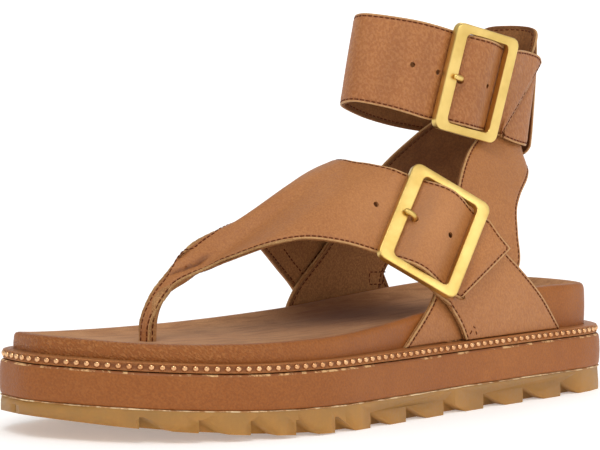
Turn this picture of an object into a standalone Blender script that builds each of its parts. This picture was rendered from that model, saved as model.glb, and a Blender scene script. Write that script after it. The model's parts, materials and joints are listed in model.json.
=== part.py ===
"""Platform t-strap sandal, left shoe, standing empty on its sole.

Lengths in the tables are millimetres: x is across (outer side of the foot positive), u is the distance
from the heel end towards the toe, z is the height above the floor.  The built solids are in metres with
the toe towards -Y, the outer side towards +X and +Z up.
"""
import bpy
import bmesh
import numpy as np

MM = 0.001
MID_X = 4.35            # x of the middle of the whole shoe
MID_U = 128.6           # u of the middle of the whole shoe
GAP = 0.3               # clearance between neighbouring pieces
LEATHER = 1.8           # thickness of a strap, two plies
RING_POINTS = 84        # points round each outline of the sole

# welt outline seen from above, heel end first, round by the outer side
OUTLINE = (
    # x, u
    (-1.0, -3.4), (14.0, -1.2), (23.9, 5.4), (28.6, 17.2), (31.0, 32.0), (34.8, 60.8), (40.2, 100.9),
    (47.4, 140.8), (52.0, 175.1), (46.8, 208.6), (29.4, 239.5), (0.2, 258.4), (-17.0, 259.8),
    (-30.6, 253.8), (-41.4, 232.0), (-43.0, 191.9), (-38.0, 151.2), (-33.8, 105.5), (-33.4, 60.0),
    (-31.4, 27.5), (-27.6, 12.0), (-15.6, -0.2),
)
# heights of the layers of the sole along the shoe
LEVELS = (
    # u, ground, outsole top, midsole top, welt top, footbed rim, footbed floor, drop of the inner rim
    (-4.0, 0.0, 8.7, 22.0, 25.6, 41.2, 37.0, 0.0),
    (40.0, 0.0, 9.1, 22.3, 25.9, 41.7, 36.4, 0.0),
    (70.0, 0.0, 9.1, 22.3, 25.9, 40.4, 36.0, 0.0),
    (100.0, 0.0, 9.1, 22.3, 25.8, 37.8, 34.2, 0.0),
    (128.0, 0.0, 9.1, 22.4, 25.9, 35.2, 31.8, 0.3),
    (150.0, 0.0, 9.2, 22.6, 26.1, 33.8, 30.3, 0.6),
    (180.0, 0.7, 9.5, 22.9, 26.4, 33.0, 29.6, 1.2),
    (210.0, 2.5, 10.3, 23.3, 26.8, 33.0, 29.9, 1.2),
    (240.0, 5.4, 11.9, 24.8, 28.4, 33.9, 31.2, 0.8),
    (262.0, 8.2, 13.1, 26.0, 29.6, 35.4, 33.0, 0.0),
)
# distance of the footbed wall inside the welt outline; narrow where the straps are lasted
FOOTBED_INSET = (
    # u, inset
    (-4.0, 4.9), (25.0, 5.3), (42.0, 6.6), (104.0, 6.6), (124.0, 5.9), (141.0, 4.2), (262.0, 3.6),
)
# steps of the footbed top from its wall to the middle
FOOTBED_STEPS = (
    # inward distance, share of the dish depth
    (0.7, -0.12), (2.4, -0.16), (5.0, 0.18), (9.0, 0.62), (15.0, 0.92),
)
# upright front faces of the lugs of the outsole
LUG_FACES = (240.7, 223.8, 206.4, 188.8, 171.2, 152.0, 131.2, 108.0, 83.6, 59.2, 35.0)
LUG_DEPTH = 5.6         # how far a notch goes into the side
LUG_HEIGHT = 0.62       # height of a notch as a share of the outsole
LUG_SLOPE = 0.56        # share of the pitch taken by the sloping roof

TOE_SLOT = (-13.0, 0.9, 12.0)   # narrow slot at the toe: x, width, depth from the toe end

BUCKLE_BAR = 4.8        # width of the bars
BUCKLE_T = 3.0          # thickness of the frame
ROD_R = 1.0             # hidden middle bar
ROD_N = -3.5            # depth of the middle bar behind the front face

# buckles: middle of the front face, direction along the strap, direction across it, size along, across
INSTEP_BUCKLE = ((34.2, 104.4, 68.3), (0.405, -0.763, -0.503), (-0.160, -0.602, 0.782), 34.6, 42.8)
ANKLE_BUCKLE = ((18.7, 67.6, 122.0), (0.040, -0.974, -0.218), (0.107, -0.232, 0.972), 32.4, 41.6)

# how a strap passes the frame: w along the strap as a share of half the frame, n out of the frame,
# clear space left beside the strap's lower and upper edges in the window
PASS = (
    # w, n, clear low, clear high
    (-1.16, -4.1, -2.2, -1.2), (-0.92, -3.9, -0.4, 0.0), (-0.73, -3.5, 0.5, 0.5), (-0.57, -2.2, 0.5, 0.5),
    (-0.36, -0.2, 0.5, 0.5), (-0.12, 1.25, 0.5, 0.5), (0.12, 1.25, 0.5, 0.5), (0.36, -0.2, 0.6, 0.6),
    (0.57, -2.2, 0.6, 0.6), (0.73, -3.5, 0.6, 0.6), (0.94, -3.8, 0.5, 0.5), (1.14, -3.8, 0.3, 0.3),
)
# how a strap end folds round the middle bar, outer face of the strap
FOLD = (
    # w in millimetres, n, clear low, clear high, thickness
    (3.2, -2.6, 1.2, 1.2, 1.1), (1.4, -2.15, 1.2, 1.2, 1.1), (0.0, -2.0, 1.2, 1.2, 1.1),
    (-1.06, -2.44, 1.2, 1.2, 1.1), (-1.5, -3.5, 1.2, 1.2, 1.1), (-1.06, -4.56, 1.2, 1.2, 1.1),
    (0.3, -5.2, 1.2, 1.2, 1.2), (4.0, -5.8, 1.0, 1.0, 1.5), (10.0, -6.0, 0.8, 0.8, LEATHER),
    (17.0, -6.1, 0.4, 0.4, LEATHER),
)

# prong: ring on the middle bar, then a bent bar through the strap to rest on the front bar
PRONG_R = 1.1
PRONG_RING = (1.3, 2.3)
PRONG_PATH = (
    # w, n
    (-1.9, -3.6), (-5.0, -3.7), (-7.4, -3.2), (-9.6, -1.5), (-11.6, 0.6), (-13.4, 1.5), (-15.0, 1.5),
)
# slot cut in a folded strap end for the ring of the prong
PRONG_SLOT = (
    # w, n
    (-3.4, 0.0), (4.5, 0.0), (4.5, -3.6), (2.8, -3.6), (2.8, -7.6), (-3.4, -7.6),
)

# upper straps: a row for each cross line, from the front or lower edge to the rear or upper edge
BAND_INNER = (
    # x1, u1, z1, x2, u2, z2, crown
    (-33.3, 107.0, 26.3, -32.7, 61.0, 26.3, 0.0),
    (-33.9, 117.0, 42.5, -33.4, 71.0, 48.0, 0.2),
    (-31.8, 126.6, 50.6, -31.8, 82.0, 60.0, 1.2),
    (-27.6, 137.6, 58.4, -26.8, 94.0, 73.6, 1.8),
    (-21.0, 150.6, 65.6, -18.6, 104.5, 85.6, 2.0),
    (-14.6, 163.0, 69.4, -9.6, 112.5, 91.6, 1.4),
    (-12.6, 174.4, 66.8, -5.2, 116.8, 93.3, 0.6),
    (-12.2, 184.6, 62.4, -1.6, 119.0, 93.8, 0.5),
    (-11.2, 191.4, 57.8, 1.4, 119.8, 93.6, 0.5),
    (-5.8, 187.0, 55.2, 4.2, 119.2, 93.3, 0.6),
    (-0.4, 180.4, 58.2, 6.6, 118.2, 93.0, 0.8),
    (5.0, 175.4, 61.0, 9.2, 116.4, 92.7, 1.0),
    (11.4, 167.2, 64.4, 12.0, 114.2, 92.1, 1.2),
    (18.0, 154.0, 66.4, 14.4, 111.9, 91.5, 1.2),
    (23.4, 141.4, 64.6, 16.6, 109.7, 90.8, 0.6),
)
# free end of the instep band beyond the buckle, outer face
BAND_TIP = (
    # x1, u1, z1, x2, u2, z2, crown
    (42.0, 98.6, 43.2, 38.2, 75.4, 66.2, 0.4),
    (42.0, 97.4, 43.2, 39.2, 69.4, 59.9, 0.2),
)
# outer base strap, from the buckle down to the sole, outer face
BASE_STRAP = (
    # x1, u1, z1, x2, u2, z2, crown
    (38.9, 99.4, 39.6, 35.4, 68.6, 58.4, 0.3),
    (38.6, 97.6, 35.6, 35.6, 58.8, 50.2, 0.4),
    (38.2, 94.4, 31.8, 33.4, 46.8, 40.8, 0.3),
    (37.2, 90.4, 26.2, 29.0, 31.4, 26.2, 0.0),
)
# quarter: from the sole on the outer side, up and round the heel, down to the sole on the inner side
QUARTER = (
    # x1, u1, z1, x2, u2, z2, crown
    (40.1, 121.0, 26.3, 31.6, 72.0, 26.3, 0.0),
    (35.9, 106.6, 42.4, 32.0, 66.0, 41.0, 0.1),
    (30.5, 96.0, 57.4, 29.9, 58.0, 52.6, 0.1),
    (27.0, 87.4, 73.0, 27.6, 55.2, 64.2, 0.4),
    (21.8, 79.6, 85.8, 24.2, 52.6, 73.0, 0.6),
    (16.0, 69.6, 95.6, 19.4, 46.0, 78.4, 0.6),
    (10.0, 56.4, 102.8, 13.4, 36.2, 85.0, 0.4),
    (7.2, 44.0, 110.0, 8.2, 30.2, 88.2, 0.0),
    (6.2, 32.0, 123.0, 3.6, 29.0, 90.2, -0.8),
    (5.8, 22.4, 142.6, 0.4, 28.8, 90.8, -1.2),
    (-2.2, 21.6, 143.8, -2.2, 28.7, 91.0, -1.2),
    (-8.0, 24.6, 144.0, -4.4, 29.0, 90.8, -1.0),
    (-13.4, 33.2, 142.8, -7.6, 30.4, 89.4, -0.4),
    (-13.4, 43.0, 126.0, -10.6, 33.0, 86.4, 0.0),
    (-13.2, 55.0, 110.6, -15.0, 38.4, 82.4, 0.4),
    (-16.0, 66.8, 102.2, -20.2, 44.8, 78.8, 0.6),
    (-20.2, 81.0, 90.2, -24.6, 51.6, 71.8, 0.6),
    (-24.4, 94.2, 74.0, -27.8, 58.8, 62.6, 0.4),
    (-28.9, 106.0, 56.2, -30.5, 66.4, 53.6, 0.2),
    (-31.6, 117.2, 42.6, -31.3, 72.0, 44.0, -0.5),
    (-32.5, 124.9, 26.3, -29.0, 74.0, 26.3, -1.0),
)
# ankle band after its fold: back along the outer side, round the heel, the inner side and the front
ANKLE_BAND = (
    # x1, u1, z1, x2, u2, z2, crown
    (12.0, 40.0, 98.4, 11.6, 33.0, 130.4, 0.0),
    (8.4, 30.2, 96.8, 8.0, 24.2, 129.0, 0.0),
    (-2.2, 25.4, 96.4, -2.2, 21.2, 129.0, 0.0),
    (-11.6, 28.4, 97.4, -12.0, 24.6, 130.0, 0.0),
    (-16.4, 40.0, 99.4, -17.4, 36.4, 132.0, 0.2),
    (-18.0, 55.0, 101.4, -19.0, 50.6, 134.6, 0.3),
    (-18.8, 70.0, 103.4, -19.2, 65.0, 137.0, 0.3),
    (-18.6, 85.0, 106.2, -18.2, 79.0, 140.2, 0.3),
    (-16.6, 99.4, 109.8, -15.4, 93.2, 144.0, 0.3),
    (-12.2, 111.0, 113.8, -10.4, 105.4, 147.8, 0.2),
    (-4.0, 113.2, 115.2, -3.2, 107.8, 148.8, 0.2),
    (4.4, 105.6, 113.6, 5.0, 99.0, 147.6, 0.2),
    (10.6, 95.6, 111.0, 11.2, 88.0, 145.4, 0.0),
)
ANKLE_TIP = (
    # x1, u1, z1, x2, u2, z2, crown
    (15.9, 52.4, 101.4, 14.2, 34.4, 134.0, 0.0),
    (15.5, 51.4, 101.4, 10.6, 24.4, 131.2, 0.2),
    (15.4, 51.2, 101.5, 9.0, 22.4, 129.6, 0.2),
)
# keeper sewn up the back of the heel over the ankle band
HEEL_LOOP = (
    # x1, u1, z1, x2, u2, z2, crown, thickness
    (-8.6, 28.2, 92.6, 3.4, 27.7, 92.6, 0.4, 1.0),
    (-9.2, 25.6, 94.2, 4.4, 25.4, 94.2, 0.6, 1.0),
    (-9.8, 24.4, 96.2, 5.0, 24.2, 96.2, 0.9, 1.0),
    (-10.2, 24.0, 99.0, 5.2, 23.9, 99.0, 1.0, 1.0),
    (-10.6, 23.2, 110.0, 5.3, 22.9, 110.0, 1.2, 1.0),
    (-11.0, 21.8, 124.0, 4.9, 21.4, 124.0, 1.4, 1.0),
    (-11.0, 21.0, 130.2, 4.5, 20.6, 130.2, 1.3, 1.0),
    (-10.6, 20.8, 134.0, 4.2, 20.3, 134.0, 1.1, 1.0),
    (-10.2, 20.8, 138.0, 4.0, 20.2, 138.0, 1.0, 1.0),
)
# toe post between the toes: middle of the section, half sizes along u and along x
POST = (
    # x, u, z, half depth, half width
    (-10.2, 205.2, 31.2, 3.2, 2.8),
    (-10.2, 204.8, 37.0, 3.1, 2.8),
    (-10.2, 202.8, 43.0, 2.8, 2.9),
    (-10.0, 199.2, 48.0, 2.6, 3.2),
    (-9.6, 194.8, 51.6, 2.3, 3.8),
    (-8.6, 189.6, 54.8, 1.8, 4.6),
    (-7.4, 184.4, 57.8, 1.2, 4.6),
)

# sewn seams that join crossing straps: a thin block between the middles of the two layers
SEAMS = (
    # x from, x to, u from, u to, z from, z to
    (-33.2, -30.2, 70.0, 82.0, 41.8, 44.2),
    (33.2, 37.4, 86.2, 88.6, 27.6, 33.6),
)

MATERIALS = {
    # colour, roughness, metallic
    "upper_leather": ((0.46, 0.20, 0.09, 1.0), 0.55, 0.0),
    "wrap_leather": ((0.33, 0.12, 0.05, 1.0), 0.50, 0.0),
    "welt_leather": ((0.42, 0.19, 0.08, 1.0), 0.50, 0.0),
    "gum_rubber": ((0.50, 0.27, 0.07, 1.0), 0.45, 0.0),
    "satin_brass": ((0.83, 0.58, 0.20, 1.0), 0.35, 1.0),
}


def clear_scene():
    for obj in list(bpy.data.objects):
        bpy.data.objects.remove(obj, do_unlink=True)


def make_material(name):
    colour, rough, metal = MATERIALS[name]
    mat = bpy.data.materials.new(name)
    mat.use_nodes = True
    bsdf = mat.node_tree.nodes["Principled BSDF"]
    bsdf.inputs["Base Color"].default_value = colour
    bsdf.inputs["Roughness"].default_value = rough
    bsdf.inputs["Metallic"].default_value = metal
    return mat


def place(p):
    """Table coordinates (x, u, z) in millimetres to world metres."""
    p = np.asarray(p, float)
    return np.stack([(p[..., 0] - MID_X) * MM, (MID_U - p[..., 1]) * MM, p[..., 2] * MM], axis=-1)


def column(table, index, u):
    """Smooth value of one column of a table at u."""
    xs = np.array([row[0] for row in table])
    ys = np.array([row[index] for row in table])
    slope = np.gradient(ys, xs)
    u = np.clip(np.asarray(u, float), xs[0], xs[-1])
    k = np.clip(np.searchsorted(xs, u) - 1, 0, len(xs) - 2)
    h = xs[k + 1] - xs[k]
    t = (u - xs[k]) / h
    h00 = 2 * t ** 3 - 3 * t ** 2 + 1
    h10 = t ** 3 - 2 * t ** 2 + t
    h01 = -2 * t ** 3 + 3 * t ** 2
    h11 = t ** 3 - t ** 2
    return h00 * ys[k] + h10 * h * slope[k] + h01 * ys[k + 1] + h11 * h * slope[k + 1]


def spline(rows, count, closed=False, stretch=None):
    """Smooth curve through rows of numbers, count samples evenly spread along it."""
    rows = np.asarray(rows, float)
    n = len(rows)
    spans = n if closed else n - 1
    pts = []
    for i in range(spans):
        if closed:
            a, b, c, d = (rows[(i + k) % n] for k in (-1, 0, 1, 2))
        else:
            b, c = rows[i], rows[i + 1]
            a = rows[i - 1] if i > 0 else 2 * b - c
            d = rows[i + 2] if i + 2 < n else 2 * c - b
        for t in np.arange(0.0, 1.0, 1.0 / 24):
            pts.append(0.5 * (2 * b + (c - a) * t + (2 * a - 5 * b + 4 * c - d) * t ** 2
                              + (3 * b - 3 * c + d - a) * t ** 3))
    pts.append(rows[0] if closed else rows[-1])
    pts = np.array(pts)
    key = pts[:, :stretch] if stretch else pts
    along = np.r_[0.0, np.cumsum(np.linalg.norm(np.diff(key, axis=0), axis=1))]
    want = np.linspace(0.0, along[-1], count, endpoint=not closed)
    return np.stack([np.interp(want, along, pts[:, k]) for k in range(pts.shape[1])], axis=1)


BASE_RING = spline(OUTLINE, RING_POINTS, closed=True)


def ring(offset):
    """Welt outline moved outwards by offset (number or one value for each point)."""
    tangent = np.roll(BASE_RING, -1, axis=0) - np.roll(BASE_RING, 1, axis=0)
    tangent /= np.linalg.norm(tangent, axis=1)[:, None]
    normal = np.stack([tangent[:, 1], -tangent[:, 0]], axis=1)
    return BASE_RING + normal * np.broadcast_to(offset, len(BASE_RING))[:, None]


def make_object(name, verts, faces, material, smooth=30.0):
    mesh = bpy.data.meshes.new(name)
    mesh.from_pydata([tuple(v) for v in verts], [], [tuple(f) for f in faces])
    mesh.materials.append(material)
    bm = bmesh.new()
    bm.from_mesh(mesh)
    bmesh.ops.recalc_face_normals(bm, faces=bm.faces)
    for face in bm.faces:
        face.smooth = True
    limit = np.radians(smooth)
    for edge in bm.edges:
        if len(edge.link_faces) == 2 and edge.calc_face_angle(0.0) > limit:
            edge.smooth = False
    bm.to_mesh(mesh)
    bm.free()
    obj = bpy.data.objects.new(name, mesh)
    return obj


def ring_solid(name, rings, material, hollow=False):
    """Solid through closed rings of equal count; hollow joins the last ring back to the first."""
    n = RING_POINTS
    verts = place(np.concatenate(rings))
    faces = []
    count = len(rings)
    for r in range(count if hollow else count - 1):
        a, b = r * n, ((r + 1) % count) * n
        for i in range(n):
            j = (i + 1) % n
            faces.append((a + i, a + j, b + j, b + i))
    if not hollow:
        for base in (0, (count - 1) * n):
            for i in range(n // 2):
                left, right = (n - i) % n, (n - i - 1) % n
                quad = [base + i, base + i + 1, base + right, base + left]
                faces.append(tuple(dict.fromkeys(quad)))
    return make_object(name, verts, faces, material)


def at_level(xy, index, add=0.0):
    z = np.maximum(column(LEVELS, index, xy[:, 1]), 0.0) + add
    return np.column_stack([xy, z])


def box_along_x(points_uz, half):
    """Prism across the shoe with the given (u, z) outline."""
    n = len(points_uz)
    verts = [(s * half + MID_X, u, z) for s in (-1, 1) for u, z in points_uz]
    faces = [tuple(range(n)), tuple(range(n, 2 * n))]
    for i in range(n):
        j = (i + 1) % n
        faces.append((i, j, n + j, n + i))
    return verts, faces


def boolean(target, cutter, operation, cutter_col):
    mod = target.modifiers.new(operation.lower(), "BOOLEAN")
    mod.operation = operation
    mod.solver = "EXACT"
    mod.object = cutter
    cutter_col.objects.link(cutter)
    cutter.hide_render = True
    cutter.display_type = "WIRE"


def bake(obj):
    """Apply the modifiers of an object by replacing its mesh with the evaluated one."""
    bpy.context.view_layer.update()
    graph = bpy.context.evaluated_depsgraph_get()
    mesh = bpy.data.meshes.new_from_object(obj.evaluated_get(graph))
    obj.modifiers.clear()
    old = obj.data
    obj.data = mesh
    bpy.data.meshes.remove(old)


def row_spline(rows, step):
    """Smooth curve through every row, with as many samples between two rows as their distance asks."""
    rows = np.asarray(rows, float)
    pts = []
    for i in range(len(rows) - 1):
        b, c = rows[i], rows[i + 1]
        a = rows[i - 1] if i > 0 else 2 * b - c
        d = rows[i + 2] if i + 2 < len(rows) else 2 * c - b
        reach = max(np.linalg.norm((c - b)[:3]), np.linalg.norm((c - b)[3:6]))
        ta = np.linalg.norm((c - b)[:6]) / max(np.linalg.norm((b - a)[:6]), 1e-6)
        td = np.linalg.norm((c - b)[:6]) / max(np.linalg.norm((d - c)[:6]), 1e-6)
        mb = ((c - b) + (b - a) * ta * ta) / (1 + ta)
        mc = ((c - b) + (d - c) * td * td) / (1 + td)
        for t in np.arange(0.0, 1.0, 1.0 / max(1, round(reach / step))):
            pts.append((2 * t ** 3 - 3 * t ** 2 + 1) * b + (t ** 3 - 2 * t ** 2 + t) * mb
                       + (3 * t ** 2 - 2 * t ** 3) * c + (t ** 3 - t ** 2) * mc)
    pts.append(rows[-1])
    return np.array(pts)


def sheet_grid(rows, step, across):
    """Grid of points over a strap given by its cross lines, with the crown added outwards."""
    line = row_spline(rows, step)
    edge_a, edge_b, crown = line[:, 0:3], line[:, 3:6], line[:, 6]
    t = np.linspace(0.0, 1.0, across)
    grid = edge_a[:, None] * (1 - t)[None, :, None] + edge_b[:, None] * t[None, :, None]
    normal = grid_normals(grid)
    return grid + normal * (crown[:, None] * 4 * t * (1 - t))[..., None], line[:, 7:]


def grid_normals(grid):
    du = np.gradient(grid, axis=0)
    dv = np.gradient(grid, axis=1)
    normal = np.cross(du, dv)
    return normal / np.linalg.norm(normal, axis=2)[..., None]


def strap(name, rows, step, across, material, side):
    """Strap solid: the rows give its outer face, side is +1 or -1 for the outer normal."""
    full = [tuple(r) + (LEATHER,) if len(r) == 7 else tuple(r) for r in rows]
    signed = [r[:6] + (r[6] * side,) + r[7:] for r in full]
    outer, extra = sheet_grid(signed, step, across)
    normal = grid_normals(outer) * side
    inner = outer - normal * extra[:, 0][:, None, None]
    return grid_solid(name, outer, inner, material)


def grid_solid(name, outer, inner, material):
    ns, nt = outer.shape[:2]
    verts = place(np.concatenate([outer.reshape(-1, 3), inner.reshape(-1, 3)]))
    faces = []
    half = ns * nt

    def at(s, t):
        return s * nt + t

    for s in range(ns - 1):
        for t in range(nt - 1):
            quad = (at(s, t), at(s + 1, t), at(s + 1, t + 1), at(s, t + 1))
            faces.append(quad)
            faces.append(tuple(half + k for k in reversed(quad)))
    for s in range(ns - 1):
        for t in (0, nt - 1):
            a, b = at(s, t), at(s + 1, t)
            faces.append((a, b, half + b, half + a))
    for t in range(nt - 1):
        for s in (0, ns - 1):
            a, b = at(s, t), at(s, t + 1)
            faces.append((a, b, half + b, half + a))
    return make_object(name, verts, faces, material)


def frame_axes(spec):
    centre, along, across = (np.array(v, float) for v in spec[:3])
    along /= np.linalg.norm(along)
    across -= along * np.dot(across, along)
    across /= np.linalg.norm(across)
    out = np.cross(across, along)
    return centre, along, across, out if out[0] > 0 else -out


def in_frame(spec, w, v, n):
    centre, along, across, out = frame_axes(spec)
    return centre + along * w + across * v + out * n


def pass_rows(spec, table):
    """Cross lines of a strap inside a buckle; a fifth column is the strap's thickness."""
    window = spec[4] / 2 - BUCKLE_BAR
    unit = 1.0 if len(table[0]) > 4 else spec[3] / 2
    rows = []
    for w, n, clear_low, clear_high, *thick in table:
        low = in_frame(spec, w * unit, clear_low - window, n)
        high = in_frame(spec, w * unit, window - clear_high, n)
        rows.append(tuple(low) + tuple(high) + (0.0,) + tuple(thick))
    return rows


def buckle(name, spec, material):
    """Flat rectangular frame with rounded corners and a softened inner edge, and its middle bar."""
    corner = 3.2
    steps = 4

    def loop(half_w, half_h, radius, n):
        pts = []
        for sx, sy, start in ((1, 1, 0), (-1, 1, 90), (-1, -1, 180), (1, -1, 270)):
            for k in range(steps + 1):
                a = np.radians(start + 90.0 * k / steps)
                pts.append(in_frame(spec, sx * (half_w - radius) + radius * np.cos(a),
                                    sy * (half_h - radius) + radius * np.sin(a), n))
        return pts

    hw, hh = spec[3] / 2, spec[4] / 2
    iw, ih = hw - BUCKLE_BAR, hh - BUCKLE_BAR
    loops = [
        loop(hw, hh, corner, -BUCKLE_T),
        loop(hw, hh, corner, -0.7),
        loop(hw - 0.7, hh - 0.7, corner - 0.5, 0.0),
        loop(iw + 1.3, ih + 1.3, 2.0, 0.0),
        loop(iw, ih, 1.2, -1.2),
        loop(iw, ih, 1.2, -BUCKLE_T),
    ]
    n = len(loops[0])
    verts = place(np.concatenate([np.array(l) for l in loops]))
    faces = []
    for r in range(len(loops)):
        a, b = r * n, ((r + 1) % len(loops)) * n
        for i in range(n):
            j = (i + 1) % n
            faces.append((a + i, a + j, b + j, b + i))
    frame = make_object(name, verts, faces, material)
    rod = tube(name + "_bar", [in_frame(spec, 0, -ih - 2.2, ROD_N), in_frame(spec, 0, ih + 2.2, ROD_N)],
               [ROD_R, ROD_R], 12, material)
    return frame, rod


def tube(name, path, radii, sides, material, ratio=1.0, up=None):
    """Round bar through the points of a path, with a radius for each point."""
    path = np.asarray(path, float)
    tangent = np.gradient(path, axis=0)
    tangent /= np.linalg.norm(tangent, axis=1)[:, None]
    ref = np.array([1.0, 0.3, 0.2]) if up is None else np.asarray(up, float)
    verts = []
    for p, d, r in zip(path, tangent, radii):
        a = np.cross(d, ref)
        a /= np.linalg.norm(a)
        b = np.cross(d, a)
        for k in range(sides):
            t = 2 * np.pi * k / sides
            verts.append(p + a * r * np.cos(t) + b * r * ratio * np.sin(t))
    faces = []
    for s in range(len(path) - 1):
        for k in range(sides):
            j = (k + 1) % sides
            faces.append((s * sides + k, s * sides + j, (s + 1) * sides + j, (s + 1) * sides + k))
    faces.append(tuple(range(sides)))
    last = (len(path) - 1) * sides
    faces.append(tuple(range(last, last + sides)))
    return make_object(name, place(verts), faces, material)


def prong(name, spec, material):
    """Prong of a buckle, and the two shapes that clear its way through the straps."""
    centre, along, across, out = frame_axes(spec)
    sides = 16
    inner, outer = PRONG_RING
    verts = []
    for radius, v in ((inner, -1.1), (outer, -1.1), (outer, 1.1), (inner, 1.1)):
        for k in range(sides):
            a = 2 * np.pi * k / sides
            verts.append(in_frame(spec, radius * np.cos(a), v, ROD_N + radius * np.sin(a)))
    faces = []
    for r in range(4):
        a, b = r * sides, ((r + 1) % 4) * sides
        for i in range(sides):
            j = (i + 1) % sides
            faces.append((a + i, a + j, b + j, b + i))
    ring_part = make_object(name, place(verts), faces, material)
    reach = spec[3] / INSTEP_BUCKLE[3]
    path = [in_frame(spec, w * reach, 0.0, n) for w, n in PRONG_PATH]
    radii = [PRONG_R] * (len(path) - 1) + [PRONG_R * 0.7]
    bar = tube(name + "_bar", path, radii, 10, material)
    clear = tube(name + "_hole", path, [PRONG_R + GAP + 0.1] * len(path), 10, material)
    n = len(PRONG_SLOT)
    verts = [in_frame(spec, w, v, depth) for v in (-1.5, 1.5) for w, depth in PRONG_SLOT]
    faces = [tuple(range(n)), tuple(range(n, 2 * n))]
    for i in range(n):
        j = (i + 1) % n
        faces.append((i, j, n + j, n + i))
    slot = make_object(name + "_slot", place(verts), faces, material)
    return ring_part, bar, clear, slot


def seam_block(name, row, material):
    """Rectangular block from a row of the seam table."""
    x0, x1, u0, u1, z0, z1 = row
    verts = [(x, u, z) for x in (x0, x1) for u in (u0, u1) for z in (z0, z1)]
    faces = [(0, 1, 3, 2), (4, 6, 7, 5), (0, 4, 5, 1), (2, 3, 7, 6), (0, 2, 6, 4), (1, 5, 7, 3)]
    return make_object(name, place(verts), faces, material)


def toe_post(name, material):
    line = spline(POST, 12)
    path, depth, width = line[:, 0:3], line[:, 3], line[:, 4]
    tangent = np.gradient(path, axis=0)
    tangent /= np.linalg.norm(tangent, axis=1)[:, None]
    across = np.array([1.0, 0.0, 0.0])
    verts = []
    sides = 12
    for p, d, r, w in zip(path, tangent, depth, width):
        a = np.cross(d, across)
        a /= np.linalg.norm(a)
        for k in range(sides):
            t = 2 * np.pi * (k + 0.5) / sides
            ca, sa = np.cos(t), np.sin(t)
            soft = (abs(ca) ** 4 + abs(sa) ** 4) ** 0.25
            verts.append(p + a * r * ca / soft + across * w * sa / soft)
    faces = []
    for s in range(len(path) - 1):
        for k in range(sides):
            j = (k + 1) % sides
            faces.append((s * sides + k, s * sides + j, (s + 1) * sides + j, (s + 1) * sides + k))
    faces.append(tuple(range(sides)))
    last = (len(path) - 1) * sides
    faces.append(tuple(range(last, last + sides)))
    return make_object(name, place(verts), faces, material)


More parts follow.
